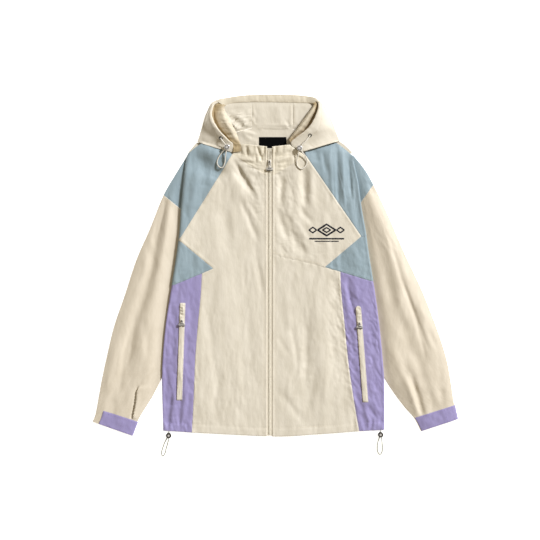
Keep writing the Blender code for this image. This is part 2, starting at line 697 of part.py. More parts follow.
def sleeve_ring(side, station, depth):
    """The closed section of a sleeve at a station, with its surface moved in by a depth."""
    rows = SLEEVES[side]
    outer = np.array([along(rows, "outer_x", station), along(rows, "outer_y", station)])
    inner = np.array([along(rows, "inner_x", station), along(rows, "inner_y", station)])
    loft = float(along(rows, "loft", station))
    width = np.linalg.norm(outer - inner)
    direction = (outer - inner) / width
    radius = SLEEVE_EDGE
    turn = np.linspace(-math.pi / 2, math.pi / 2, SLEEVE_ARC + 1)
    round_edge = radius - depth
    inner_arc = [(radius - round_edge * math.cos(a), radius + round_edge * math.sin(a)) for a in turn]
    outer_arc = [(width - radius + round_edge * math.cos(a), radius + round_edge * math.sin(a))
                 for a in turn[::-1]]
    across = np.linspace(radius, width - radius, SLEEVE_TOP + 2)[1:-1]
    x = inner[0] + direction[0] * across
    y = inner[1] + direction[1] * across
    clear_of_body = side * (x - fold_x(side * np.ones_like(y), y))
    shape = 1 - (1 - np.clip((width - across - radius) / 30, 0, 1)) ** 2
    shape = shape * (1 - (1 - np.clip((across - radius) / 30, 0, 1)) ** 2)
    shape = shape * soft_step((clear_of_body - 1) / 30)
    relief = np.zeros_like(across)
    for fold in SLEEVE_FOLDS[side]:
        reach = (station - fold.start) / (fold.end - fold.start)
        ends = float(soft_step(reach / 0.3) * soft_step((1 - reach) / 0.3))
        from_line = across - width * fold.across
        relief = relief + fold.height * ends * np.exp(-(from_line / fold.width) ** 2)
    height = 2 * radius + shape * (loft - 2 * radius + relief * min(1.0, (loft - 3) / 5))
    top = list(zip(across, height - depth))
    bottom = [(a, depth) for a in np.linspace(width - radius, radius, SLEEVE_BOTTOM + 2)[1:-1]]
    section = inner_arc + top + outer_arc + bottom
    return np.array([(inner[0] + direction[0] * a, inner[1] + direction[1] * a, z) for a, z in section])


def add_tube(name, outer_rings, inner_rings, finish):
    """A hollow wall between two stacks of rings, closed at both ends by a rim."""
    count = len(outer_rings[0])
    levels = len(outer_rings)
    points = np.concatenate(outer_rings + inner_rings)
    start = count * levels
    faces = []
    for i in range(levels - 1):
        for j in range(count):
            k = (j + 1) % count
            quad = [i * count + j, i * count + k, (i + 1) * count + k, (i + 1) * count + j]
            faces.append(quad)
            faces.append([start + corner for corner in reversed(quad)])
    for level in (0, levels - 1):
        for j in range(count):
            k = (j + 1) % count
            a, b = level * count + j, level * count + k
            faces.append([a, b, start + b, start + a])
    return add_mesh(name, points, faces, finish)


def sleeve(side, side_name):
    last = len(SLEEVES[side]) - 1
    gap = 0.004
    cap_stations = np.linspace(0, CAP_STATION - gap, 4)
    arm_stations = np.concatenate([np.linspace(CAP_STATION + gap, last - 1.4, 8), [last - 0.8, last]])
    for name, stations, finish in (("sleeve_cap_", cap_stations, BLUE), ("sleeve_", arm_stations, CREAM)):
        outer = [sleeve_ring(side, station, 0.0) for station in stations]
        inner = [sleeve_ring(side, station, WALL) for station in stations]
        add_tube(name + side_name, outer, inner, finish)
    return arm_stations


def cuff_tab(side, side_name, stations):
    """The tab on the sleeve's end, from its ring points moved out."""
    lift = 0.6
    if side < 0:
        ring_points = list(range(2, SLEEVE_ARC + 1 + SLEEVE_TOP))
        starts = np.linspace(LEFT_TAB_INNER, LEFT_TAB_OUTER, len(ring_points))
    else:
        ring_points = list(range(SLEEVE_ARC, 2 * SLEEVE_ARC + SLEEVE_TOP))
        starts = np.full(len(ring_points), stations[-3] + 0.35)
    middle = []
    for share in (0, 0.3, 1):
        rows = [sleeve_ring(side, start + (stations[-1] - start) * share, -lift - WALL / 2)[point]
                for start, point in zip(starts, ring_points)]
        middle.append(rows)
    add_free_sheet("cuff_tab_" + side_name, np.array(middle), LILAC)


# ---------------------------------------------------------------- hood

HOOD_TABLES = {-1: LEFT_HOOD, 1: RIGHT_HOOD}
FACING_TABLES = {-1: LEFT_FACING, 1: RIGHT_FACING}


def hood_places(side, row):
    """The named places of a hood row: seam, fold, middle and rim, in plan, and the rim's height."""
    rows = HOOD_TABLES[side]

    def place(name):
        return np.array([float(along(rows, name + "_x", row)), float(along(rows, name + "_y", row))])

    return place("seam"), place("fold"), place("middle"), place("rim"), float(along(rows, "rim_z", row))


def hood_outer_point(side, row, share):
    """A point of the outer face, a share of the way from the side fold to the rim."""
    _, fold, middle, rim, rim_z = hood_places(side, row)
    out = (fold - middle) / np.linalg.norm(fold - middle)
    start = fold - out * HOOD_ROLL
    bend = 2 * middle - (start + rim) / 2
    plan = (1 - share) ** 2 * start + 2 * share * (1 - share) * bend + share ** 2 * rim
    low = FLOOR + 2 * HOOD_ROLL
    return np.array([*plan, low + (rim_z - low) * (1 - (1 - share) ** 1.8)])


def hood_row(side, row):
    """The section of a side panel: under layer from the centre seam, round the side fold, up to the rim."""
    seam, fold, middle, _, _ = hood_places(side, row)
    out = (fold - middle) / np.linalg.norm(fold - middle)
    centre = fold - out * HOOD_ROLL
    points = [np.array([*(seam + (centre - seam) * share), FLOOR]) for share in np.linspace(0, 1, 5)]
    for angle in np.linspace(-math.pi / 2, math.pi / 2, 6)[1:-1]:
        plan = centre + out * HOOD_ROLL * math.cos(angle)
        points.append(np.array([*plan, FLOOR + HOOD_ROLL * (1 + math.sin(angle))]))
    points += [hood_outer_point(side, row, share) for share in np.linspace(0, 1, 6)]
    return points


def hood():
    rows = len(LEFT_HOOD)
    for side, side_name in ((-1, "left"), (1, "right")):
        grid = np.array([hood_row(side, row) for row in range(rows)])
        grid[:, 0, 0] += side * SEAM / 2
        add_free_sheet("hood_side_" + side_name, grid, CREAM)
    left = [np.array([LEFT_HOOD[i].seam_x + SEAM / 2, LEFT_HOOD[i].seam_y, FLOOR]) for i in range(rows)]
    right = [np.array([RIGHT_HOOD[i].seam_x - SEAM / 2, RIGHT_HOOD[i].seam_y, FLOOR]) for i in range(rows)]
    centre = np.array([[a + (b - a) * share for share in np.linspace(0, 1, 4)] for a, b in zip(left, right)])
    add_free_sheet("hood_centre", centre, CREAM)


def facing_grid(side):
    """The casing inside the rim: down steeply from the rim, up over a soft ridge and down to its edge."""
    rows = []
    for edge in FACING_TABLES[side]:
        _, _, _, rim, _ = hood_places(side, edge.row)
        end = np.array([edge.x, edge.y])
        inward = (end - rim) / np.linalg.norm(end - rim)
        start = rim + inward * 1.4
        drop = edge.rim_z - edge.z
        heights = [edge.z + drop * share for share in (1, 0.28, 0.2, 0.22, 0)]
        shares = [0, 0.2, 0.45, 0.72, 1]
        rows.append([np.array([*(start + (end - start) * share), z]) for share, z in zip(shares, heights)])
    return np.array(rows)


def facings():
    add_free_sheet("hood_facing_left", facing_grid(-1), CREAM)
    add_free_sheet("hood_facing_right", facing_grid(1)[:, ::-1], CREAM)
    outer = resampled(TOP_BAND_OUTER, 10)
    inner = resampled(TOP_BAND_INNER, 10)
    height = FLOOR + WALL + SEAM
    band = np.array([[np.array([*(low + (high - low) * share), height]) for low, high in zip(inner, outer)]
                     for share in np.linspace(0, 1, 3)])
    add_free_sheet("hood_facing_top", band, CREAM)


# ---------------------------------------------------------------- zips

def zip_heights():
    """Heights along the front zip where the fronts and collars have their rows."""
    lower = np.linspace(ZIP_BOTTOM, -14, 14)
    upper = np.linspace(0, NECK_AT_ZIP, 10)
    return np.concatenate([lower, upper, np.linspace(NECK_AT_ZIP, ZIP_TOP, 5)[1:]])


TAPE_WALL = 1.0
TAPE_HALF = 10.0
CHAIN_HALF = 2.5
CHAIN_HEIGHT = 1.6


def zip_level(y):
    return float(front_height(np.array(ZIP_X), np.array(float(y)), np.array(200.0)))


def tape_middle(y):
    return zip_level(y) - WALL / 2 - 0.35 - TAPE_WALL / 2


def front_zip():
    heights = zip_heights()
    for side, side_name in ((-1, "left"), (1, "right")):
        near, far = ZIP_X + side * 0.3, ZIP_X + side * TAPE_HALF
        low, high = min(near, far), max(near, far)
        grid = np.array([[(x, y, tape_middle(y)) for x in (low, high)] for y in heights])
        add_free_sheet("zip_tape_" + side_name, grid, CREAM_TAPE, TAPE_WALL)
    rows = [y for y in heights if y < SLIDER_Y - 2] + [SLIDER_Y]
    base = TAPE_WALL / 2 + SEAM
    grid = np.array([[(x, y, tape_middle(y) + base + CHAIN_HEIGHT / 2)
                      for x in (ZIP_X - CHAIN_HALF, ZIP_X, ZIP_X + CHAIN_HALF)] for y in rows])
    add_free_sheet("zip_chain", grid, CREAM_TAPE, CHAIN_HEIGHT)


SLIDER_SIZE = (8.6, 11.0, 1.8)
BRIDGE_WIDTH = 2.0
BRIDGE_LENGTH = 7.0
BRIDGE_RISE = 3.9
PIN = 1.3              # thickness of the pull's cross bar
PIVOT_RISE = 1.8       # the cross bar's middle over the slider's plate
PULL_WIDTH = 15.0
PULL_TAB = 8.0
FRONT_ARM = 13.5       # length of the pull's arms on the front zip, and on the pockets
POCKET_ARM = 4.6
PULL_THICK = 1.5
MOST_TILT = 0.13       # sine of the steepest droop that clears the slider's plate


def join_box(made, x, y, z):
    """A box between low and high corners given for each axis."""
    size = [high - low for low, high in (x, y, z)]
    middle = [(high + low) / 2 for low, high in (x, y, z)]
    box = bmesh.ops.create_cube(made, size=1.0)["verts"]
    bmesh.ops.scale(made, vec=size, verts=box)
    bmesh.ops.translate(made, vec=middle, verts=box)


def fused(name, boxes, finish, place, tilt=0.0, bevel=0.25):
    """One solid made by a Boolean union of boxes, softened and placed."""
    base = None
    for number, box in enumerate(boxes):
        mesh = bpy.data.meshes.new(name)
        made = bmesh.new()
        join_box(made, *[[edge * MM for edge in axis] for axis in box])
        made.to_mesh(mesh)
        made.free()
        part = bpy.data.objects.new(name if number == 0 else name + "_piece_" + str(number), mesh)
        bpy.context.scene.collection.objects.link(part)
        if number == 0:
            base = part
            continue
        part.hide_render = True
        part.display_type = "WIRE"
        union = base.modifiers.new("join", "BOOLEAN")
        union.operation = "UNION"
        union.object = part
        part.parent = base
    soften = base.modifiers.new("soften", "BEVEL")
    soften.width = bevel * MM
    soften.segments = 1
    soften.limit_method = "ANGLE"
    base.location = [value * MM for value in place]
    base.rotation_euler = (tilt, 0, 0)
    base.data.materials.append(material(finish))
    return base


def slider_and_pull(slider_name, pull_name, x, y, seat, lowest, arm):
    """A zip slider at rest on its chain, and its pull hinged on the bridge and lying towards the hem."""
    plate_x, plate_y, plate_z = SLIDER_SIZE
    leg = 1.2
    bridge = BRIDGE_WIDTH / 2
    half = BRIDGE_LENGTH / 2
    overlap = 0.3
    boxes = [
        [(-plate_x / 2, plate_x / 2), (-plate_y / 2, plate_y / 2), (0, plate_z)],
        [(-bridge, bridge), (-half, -half + leg), (plate_z - overlap, plate_z + BRIDGE_RISE)],
        [(-bridge, bridge), (half - leg, half), (plate_z - overlap, plate_z + BRIDGE_RISE)],
        [(-bridge, bridge), (-half, half), (plate_z + BRIDGE_RISE - 0.9, plate_z + BRIDGE_RISE)],
    ]
    fused(slider_name, boxes, SILVER, (x, y, seat), bevel=0.15)
    pivot = seat + plate_z + PIVOT_RISE
    reach = arm + PULL_TAB
    drop = pivot - PULL_THICK / 2 - lowest
    tilt = math.asin(min(MOST_TILT, max(0.0, drop / reach)))
    arm_in, arm_out = bridge + 0.4, bridge + 1.6
    pin = PIN / 2
    boxes = [
        [(-PULL_WIDTH / 2, PULL_WIDTH / 2), (-reach, -arm), (-PULL_THICK / 2, PULL_THICK / 2)],
        [(-arm_out, -arm_in), (-arm - overlap, pin), (-pin, pin)],
        [(arm_in, arm_out), (-arm - overlap, pin), (-pin, pin)],
        [(-arm_out, arm_out), (-pin * 0.9, pin * 0.9), (-pin * 0.9, pin * 0.9)],
    ]
    fused(pull_name, boxes, SILVER, (x, y, pivot), tilt=tilt, bevel=0.15)


STRIP_GAP = 0.65       # between a pocket zip's strip and the panel under it
STRIP_LIFT = WALL / 2 + STRIP_GAP + WALL / 2
SLIDER_GAP = 0.35


def surface_height(x, y, spread=0.0):
    """Highest cloth surface at a place of the front, or within a spread round it."""
    offsets = (-spread, 0, spread)
    heights = [float(body_point(np.array(x + a), np.array(y + b))[2]) for a in offsets for b in offsets]
    return max(heights) + WALL / 2


def pocket_zips():
    for side_name, (top, bottom, slider_y) in POCKETS.items():
        rows = straight(bottom, top, 12)
        half = STRIP_WIDTH / 2
        grid = np.array([[(x - half, y), (x + half, y)] for x, y in rows])
        points, normals = body_grid(grid, STRIP_LIFT)
        add_sheet("pocket_zip_" + side_name, points, normals, CREAM_TAPE)
        share = (slider_y - bottom.y) / (top.y - bottom.y)
        x = bottom.x + (top.x - bottom.x) * share
        seat = surface_height(x, slider_y) + STRIP_GAP + WALL + SLIDER_GAP
        slider_and_pull("pocket_slider_" + side_name, "pocket_pull_" + side_name, x, slider_y, seat,
                        seat + SLIDER_GAP, POCKET_ARM)


def front_slider():
    chain_top = tape_middle(SLIDER_Y) + TAPE_WALL / 2 + SEAM + CHAIN_HEIGHT
    seat = chain_top + SLIDER_GAP
    lowest = surface_height(ZIP_X, SLIDER_Y - 14, 9.0) + 0.6
    slider_and_pull("front_slider", "front_pull", ZIP_X, SLIDER_Y, seat, lowest, FRONT_ARM)


# ---------------------------------------------------------------- label, eyelets, locks and cords

def neck_label():
    width, height, thick = 65.0, 26.0, 0.8
    middle_x, top = -5.6, 304.0
    z = WALL + 0.35 + thick / 2
    xs = (middle_x - width / 2, middle_x + width / 2)
    grid = np.array([[(x, y, z) for x in xs] for y in (top - height, top)])
    add_free_sheet("neck_label", grid, BLACK, thick)


def turned(name, profile, finish, place, normal=(0, 0, 1), sides=14):
    """A solid of revolution about a normal; the profile is a closed loop of (radius, height)."""
    axis = np.array(normal, float)
    axis /= np.linalg.norm(axis)
    first = np.cross(axis, (0, 1, 0))
    first /= np.linalg.norm(first)
    second = np.cross(axis, first)
    points = []
    for k in range(sides):
        angle = 2 * math.pi * k / sides
        out = first * math.cos(angle) + second * math.sin(angle)
        points += [np.array(place) + out * radius + axis * height for radius, height in profile]
    count = len(profile)
    faces = [[k * count + j, k * count + (j + 1) % count, ((k + 1) % sides) * count + (j + 1) % count,
              ((k + 1) % sides) * count + j] for k in range(sides) for j in range(count)]
    return add_mesh(name, np.array(points), faces, finish)


def add_lock(name, place, base):
    """A cord lock seen from its button, standing on a base height."""
    body = bpy.data.meshes.new(name)
    made = bmesh.new()
    bmesh.ops.create_cone(made, cap_ends=True, segments=16, radius1=LOCK_RADIUS * MM,
                          radius2=LOCK_RADIUS * MM, depth=LOCK_HEIGHT * MM)
    made.to_mesh(body)
    made.free()
    body.materials.append(material(SILVER))
    lock = bpy.data.objects.new(name, body)
    bpy.context.scene.collection.objects.link(lock)
    lock.location = (place.x * MM, place.y * MM, (base + LOCK_HEIGHT / 2) * MM)
    soften = lock.modifiers.new("soften", "BEVEL")
    soften.width = 1.2 * MM
    soften.segments = 1
    soften.limit_method = "ANGLE"


def add_cord(name, route):
    """A drawcord stretch through its route's points."""
    route = np.array(route, float)
    length = np.linalg.norm(np.diff(route, axis=0), axis=1).sum()
    points = resampled(route, max(2, int(round(length / (2.6 * CORD)))))
    curve = bpy.data.curves.new(name, "CURVE")
    curve.dimensions = "3D"
    curve.bevel_depth = CORD / 2 * MM
    curve.bevel_resolution = 2
    curve.use_fill_caps = True
    spline = curve.splines.new("POLY")
    spline.points.add(len(points) - 1)
    for target, point in zip(spline.points, points):
        target.co = (*(point * MM), 1)
    curve.materials.append(material(ELASTIC))
    bpy.context.scene.collection.objects.link(bpy.data.objects.new(name, curve))


def hood_trim(side, side_name, eyelet, lock):
    row, share = eyelet
    step = 0.02
    here = hood_outer_point(side, row, share)
    across = hood_outer_point(side, row, share + step) - hood_outer_point(side, row, share - step)
    ahead = hood_outer_point(side, row + step, share) - hood_outer_point(side, row - step, share)
    normal = np.cross(across, ahead) * -side
    normal /= np.linalg.norm(normal)
    lift = WALL / 2 + 0.45
    profile = [(2.4, 0.0), (4.7, 0.0), (4.4, 0.9), (2.9, 1.1)]
    turned("hood_eyelet_" + side_name, profile, SILVER, here + normal * lift, normal, sides=12)
    base = max(surface_height(lock.x, lock.y - 3, 4.0), HOOD_LOCK_REST[side]) + 0.5
    add_lock("hood_lock_" + side_name, lock, base)
    middle = base + LOCK_HEIGHT / 2
    mouth = here + normal * (lift + CORD / 2 + 0.7)
    lock_point = np.array([lock.x, lock.y, middle])
    towards = mouth[:2] - lock_point[:2]
    towards /= np.linalg.norm(towards)
    entry = lock_point.copy()
    entry[:2] += towards * (LOCK_RADIUS + 0.35)
    bow = (mouth + entry) / 2 + np.array([0, 0, 1.8])
    add_cord("hood_cord_" + side_name, [mouth, bow, entry])
    loop = []
    plan = HOOD_LOOPS[side_name]
    for number, (x, y) in enumerate(plan):
        rest = surface_height(x, y, 2.0) + 0.5 + CORD / 2
        from_end = min(number, len(plan) - 1 - number)
        share = (1.0, 0.55, 0.15)[from_end] if from_end < 3 else 0.0
        loop.append((x, y, rest + (middle - rest) * share))
    add_cord("hood_loop_" + side_name, loop)


def hem_trim(side_name, lock):
    add_lock("hem_lock_" + side_name, lock, 0.0)
    middle = LOCK_HEIGHT / 2
    hem = float(hem_y(lock.x))
    top = (lock.x, hem - SEAM - 0.1, 2.6)
    end = lock.y + LOCK_RADIUS + 0.3
    add_cord("hem_cord_" + side_name, [top, (lock.x, (hem + end) / 2, 2.8), (lock.x, end, 3.2)])
    plan = HEM_LOOPS[side_name]
    loop = []
    for number, (x, y) in enumerate(plan):
        from_end = min(number, len(plan) - 1 - number)
        share = (1.0, 0.5, 0.1)[from_end] if from_end < 3 else 0.0
        rest = CORD / 2 + 0.15
        loop.append((x, y, rest + (middle - rest) * share))
    add_cord("hem_loop_" + side_name, loop)


def clear_scene():
    for thing in list(bpy.data.objects):
        bpy.data.objects.remove(thing)


def main():
    clear_scene()
    back_panel()
    front_left()
    front_right()
    collars()
    for side, side_name in ((-1, "left"), (1, "right")):
        shoulder_yoke(side)
        side_wedge(side)
        side_panel(side)
        stations = sleeve(side, side_name)
        cuff_tab(side, side_name, stations)
    hood()
    facings()
    neck_label()
    front_zip()
    front_slider()
    pocket_zips()
    hood_trim(-1, "left", LEFT_EYELET, LEFT_LOCK)
    hood_trim(1, "right", RIGHT_EYELET, RIGHT_LOCK)
    hem_trim("left", HEM_LEFT_LOCK)
    hem_trim("right", HEM_RIGHT_LOCK)


main()
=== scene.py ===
"""A hooded windbreaker jacket laid flat: its cloth, sewing, zips, cords and metal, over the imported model.

Sizes are in millimetres, and each mesh is scaled to metres as it is made. +X is the viewer's right, +Y points
to the hood, and the back lies on z = 0.
"""

import math
from collections import namedtuple

import bmesh
import bpy
import numpy as np
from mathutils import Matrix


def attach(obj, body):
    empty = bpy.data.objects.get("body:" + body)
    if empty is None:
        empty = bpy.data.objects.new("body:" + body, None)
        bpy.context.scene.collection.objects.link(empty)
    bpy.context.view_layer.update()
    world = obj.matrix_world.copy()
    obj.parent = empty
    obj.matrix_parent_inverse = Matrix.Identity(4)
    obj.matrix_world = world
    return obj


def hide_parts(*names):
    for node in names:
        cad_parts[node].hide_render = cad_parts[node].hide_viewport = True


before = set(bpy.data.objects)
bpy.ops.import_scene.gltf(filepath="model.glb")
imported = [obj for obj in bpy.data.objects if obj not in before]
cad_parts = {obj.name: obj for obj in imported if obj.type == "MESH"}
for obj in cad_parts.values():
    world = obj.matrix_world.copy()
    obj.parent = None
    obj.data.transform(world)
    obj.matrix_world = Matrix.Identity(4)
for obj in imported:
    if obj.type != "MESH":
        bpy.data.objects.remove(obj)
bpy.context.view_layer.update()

MM = 0.001


def table(kind, rows):
    """Plain rows as rows with named columns."""
    return [kind(*row) for row in rows]


# Driving sizes
WALL = 1.2            # cloth of a panel, with its seam allowances
SEAM = 0.3            # gap between two pieces at a seam
FLOOR = WALL / 2      # middle of a cloth that lies on the surface
ROLL = 5.0            # half width of the soft fold along the body's sides
ZIP_X = -13.0         # middle of the front zip
ZIP_HALF = 6.0        # from the middle of the zip to the edge of each front
TUCK = 11.5           # how far a sleeve's inner edge reaches under the body
HEM_DEPTH = 19.0      # from the hem's and the cuffs' edges to the stitches of their casings
UNDER_REACH = 30.0    # how far the side panels reach under the body
SLEEVE_EDGE = 1.6     # radius of a sleeve's pressed edges
CORD = 2.6            # diameter of the drawcords
LOCK_RADIUS = 6.6
LOCK_HEIGHT = 8.6
STRIP_WIDTH = 13.0    # cream strip over each pocket zip

# The body's silhouette: x of the left and right side folds at each height of the garment
Edge = namedtuple("Edge", "y left right")
EDGES = table(Edge, [
    (300, -150, 145), (296, -168, 152.5), (288, -189, 163), (280, -197, 173), (270, -204, 185.5),
    (260, -207, 184.8), (198, -215.5, 196), (137, -221.5, 204), (80, -225, 214), (29, -231.5, 221),
    (-46, -243.5, 233), (-130, -257, 244.5), (-206, -264.5, 252.5), (-263, -267, 257), (-322, -266, 258.5),
    (-405, -263.5, 258),
])

# Heights of the cloth's middle: under the side fold, over it, at mid panel and along the zip
Level = namedtuple("Level", "y under side middle zip")
LEVELS = table(Level, [
    (300, 0.6, 3.6, 6.0, 23.0), (280, 0.7, 3.8, 9.0, 22.0), (262, 4.1, 6.6, 11.0, 18.5),
    (240, 4.1, 8.6, 12.0, 16.0), (211, 4.1, 9.8, 11.5, 13.0), (150, 4.1, 10.8, 10.5, 10.5),
    (60, 4.1, 11.2, 10.0, 9.0), (-60, 4.1, 11.2, 9.5, 8.0), (-200, 4.1, 10.5, 9.0, 7.5),
    (-262, 4.1, 9.8, 8.5, 7.0), (-310, 1.2, 6.6, 7.2, 6.2), (-360, 0.6, 4.8, 5.2, 5.2),
    (-410, 0.6, 4.2, 4.2, 4.2),
])

# Largest folds of the fronts: a line from (x0, y0) to (x1, y1), its half width, and its height
Fold = namedtuple("Fold", "x0 y0 x1 y1 width height")
BODY_FOLDS = table(Fold, [
    (-92, 238, -52, 178, 11, -3.2), (-112, 222, -70, 150, 16, 1.6), (36, 250, 12, 176, 12, -2.6),
    (74, 236, 72, 158, 10, -1.8), (56, 230, 52, 110, 15, 1.8), (20, 110, 60, 20, 16, -1.8),
    (150, 220, 168, 120, 14, -2.0), (-150, 120, -120, -160, 26, 1.6), (-80, 60, -90, -330, 24, -1.4),
    (60, -90, 80, -260, 18, -2.0), (100, -60, 120, -330, 20, 1.8), (140, -60, 170, -300, 13, -1.6),
    (-150, -200, -160, -370, 16, 1.4), (20, -250, 50, -380, 16, 1.5),
])

# Hem line of the fronts
Hem = namedtuple("Hem", "x y")
HEM = table(Hem, [
    (-275, -389.5), (-233, -392.5), (-197, -394.5), (-113, -399), (-40, -402.5), (12, -404), (91, -399.5),
    (154, -395), (198, -391.5), (270, -388),
])

# Corners of the seams
Corner = namedtuple("Corner", "x y")
LEFT_NECK = Corner(-101, 262)
LEFT_ARMHOLE = Corner(-226.5, 60)
LEFT_POINT = Corner(-146, -7)
LEFT_SIDE_TOP = Corner(-172.5, -18.5)
RIGHT_NECK = Corner(73, 259)
RIGHT_ARMHOLE = Corner(203.5, 69)
RIGHT_POINT = Corner(117.5, -3.5)
RIGHT_SIDE_TOP = Corner(154, -14.5)
NECK_AT_ZIP = 211.0    # y of the neck seam at the zip
CHEST_AT_ZIP = 26.5    # y of the right chest seam at the zip
ZIP_BOTTOM = -402.0
ZIP_TOP = 274.0
SLIDER_Y = 244.0
PANEL_TOP_AT_FOLD = {-1: -46.0, 1: -36.5}    # y of the lilac panels' top edge at each side fold
BACK_NECK = [Corner(-187, 289.6), Corner(-183, 290.3), Corner(-120, 307.3), Corner(-55, 325.3),
             Corner(41.5, 321.9), Corner(100, 307), Corner(153, 293.4), Corner(162, 288)]

# Side seams between the cream fronts and the lilac side panels
SideSeam = namedtuple("SideSeam", "y left right")
SIDE_SEAMS = table(SideSeam, [
    (-16, -172.5, 154), (-57, -174.5, 155.8), (-128, -181, 163), (-223, -188.5, 172.5), (-310, -192, 184.8),
    (-396, -196.6, 199.5),
])

# Stations down each sleeve: its outer edge, its inner edge (where it is free of the body) and its loft
Station = namedtuple("Station", "outer_x outer_y inner_x inner_y loft")
UNDER_BODY = None
LEFT_SLEEVE = table(Station, [
    (-207, 261, UNDER_BODY, 252, 3.6), (-235, 216, UNDER_BODY, 200, 6.5),
    (-263.5, 166.5, UNDER_BODY, 124, 9.5), (-295, 89, UNDER_BODY, 47, 11), (-328, 13, UNDER_BODY, -20, 11.5),
    (-356, -72, UNDER_BODY, -103, 11.5), (-381.5, -147, UNDER_BODY, -178, 11),
    (-400.5, -227.5, UNDER_BODY, -238, 10), (-409.5, -270, -270, -271, 9), (-416, -305, -289, -309, 8.5),
    (-424, -349, -321, -361, 7), (-431.4, -369, -338, -402, 5.5),
])
RIGHT_SLEEVE = table(Station, [
    (185, 261, UNDER_BODY, 252, 3.6), (210, 230, UNDER_BODY, 206, 6.5), (232.5, 191.5, UNDER_BODY, 135, 9.5),
    (271, 110, UNDER_BODY, 53, 11), (305.5, 30, UNDER_BODY, -22, 11.5),
    (343.5, -50.5, UNDER_BODY, -100, 11.5), (369, -113, UNDER_BODY, -164, 11),
    (391, -173, UNDER_BODY, -216, 10.5), (407, -227, 254, -258, 9.5), (416, -277, 280, -300, 8.5),
    (421, -312, 306.5, -335, 7.5), (424.5, -331, 329.5, -361.5, 6.5), (431.4, -363, 345, -391.5, 5.5),
])
CAP_STATION = 2        # the cap seam's station on both sleeves
LEFT_TAB_INNER = 10.2  # stations where the left cuff's tab begins, at the inner edge and at the outer
LEFT_TAB_OUTER = 9.8
RIGHT_TAB = 1.05       # how many stations the right cuff's tab takes up

# Soft lengthwise folds of a sleeve: place across it (0 inner, 1 outer), start and end station,
# width and height
SleeveFold = namedtuple("SleeveFold", "across start end width height")
SLEEVE_FOLDS = {
    -1: [
        SleeveFold(0.35, 2.5, 7.5, 14, -2.0),
        SleeveFold(0.62, 1.2, 6.5, 15, 1.5),
        SleeveFold(0.72, 5.5, 10.5, 10, -1.8),
        SleeveFold(0.42, 7.0, 11.0, 11, 1.4),
    ],
    1: [
        SleeveFold(0.40, 2.0, 7.0, 14, -2.0),
        SleeveFold(0.66, 1.5, 6.0, 16, 1.5),
        SleeveFold(0.30, 6.0, 11.0, 10, 1.5),
        SleeveFold(0.60, 6.5, 12.0, 10, -1.8),
    ],
}

# Rows of the hood from the neck seam (first) to its top corner (last), for each side: the seam with the
# centre panel, the side fold, a middle point of the outer face, the rim of the mouth and the rim's height
HoodRow = namedtuple("HoodRow", "seam_x seam_y fold_x fold_y middle_x middle_y rim_x rim_y rim_z")
LEFT_HOOD = table(HoodRow, [
    (-55, 326, -183, 292, -138, 279, -101, 267, 13), (-55, 333, -181, 298, -140, 288, -100.5, 285, 17),
    (-55, 340, -178, 307, -143, 299, -110, 293.5, 21), (-55, 350, -173, 325, -147.5, 315, -121.5, 305, 25),
    (-55, 360, -169, 340, -152, 329.5, -134.5, 319, 27),
    (-55, 369, -167, 346.5, -154.5, 337.5, -141, 328.5, 26.5),
    (-55, 377, -165, 353, -156, 345.5, -146.5, 338.5, 25),
    (-55, 385.5, -160.5, 363.5, -156, 359, -151, 354.5, 20),
    (-55, 393, -156, 374, -152.5, 371.5, -149, 369.5, 14),
    (-55, 399, -150, 384.5, -147.5, 382.5, -145, 380.5, 9),
    (-55, 403.5, -137.5, 392, -136.5, 389, -135.5, 386, 6),
])
RIGHT_HOOD = table(HoodRow, [
    (41.5, 322.5, 153, 294.5, 108, 281.5, 64, 268, 15), (41.5, 329.5, 150.5, 300, 100, 285, 52, 274.5, 17),
    (41.5, 336.5, 147.5, 307, 94, 294, 38, 286.5, 20), (41.5, 346, 143, 318, 100, 308, 52.5, 301, 23),
    (41.5, 355.5, 139, 329, 108.5, 320, 71, 314.5, 26), (41.5, 365, 134.5, 340.5, 112, 333, 85.5, 330, 27),
    (41.5, 374, 129, 352.5, 113, 350, 95.5, 348.5, 26), (41.5, 383, 122.5, 365.5, 112, 364.5, 101.5, 364, 22),
    (41.5, 391, 116, 377.5, 110, 377.5, 104, 377.5, 16), (41.5, 398, 109.5, 387, 106, 386, 102.5, 385, 10),
    (41.5, 403.5, 97.5, 395, 97.5, 392, 97.5, 389, 6),
])
HOOD_ROLL = 1.7        # radius of the hood's side folds

# Casing round the mouth at the hood's rows: its inner edge, and its height at the rim and at that edge
FacingRow = namedtuple("FacingRow", "row x y rim_z z")
LEFT_FACING = table(FacingRow, [
    (0, -79, 269, 14.8, 16.9), (1, -81, 284, 17.4, 17.0), (2, -86, 296, 20, 15), (3, -90, 308, 24, 11),
    (4, -96, 322, 26, 9), (5, -101, 331, 25.5, 8.5), (6, -106, 341, 24, 8), (7, -113, 354, 19, 7),
    (8, -118, 366, 13, 6), (9, -120, 375, 8, 5), (10, -116, 378.5, 5, 4),
])
RIGHT_FACING = table(FacingRow, [
    (2, 33, 297, 19, 12), (3, 41, 308.5, 22, 10), (4, 52, 323, 25, 9), (5, 63.5, 340, 26, 8.5),
    (6, 75, 355, 25, 8), (7, 84.5, 368, 21, 7), (8, 90, 376.5, 15, 6), (9, 91, 381, 9, 5),
    (10, 87, 382.5, 5, 4),
])
TOP_BAND_OUTER = [Corner(-134.5, 392), Corner(-115, 396.5), Corner(-84, 401.5), Corner(-36, 404.4),
                  Corner(24, 404.2), Corner(70, 401.5), Corner(96, 396)]
TOP_BAND_INNER = [Corner(-115, 380.5), Corner(-100, 384), Corner(-60, 386.5), Corner(-19, 386.8),
                  Corner(37.5, 385.5), Corner(65, 385), Corner(85, 384)]

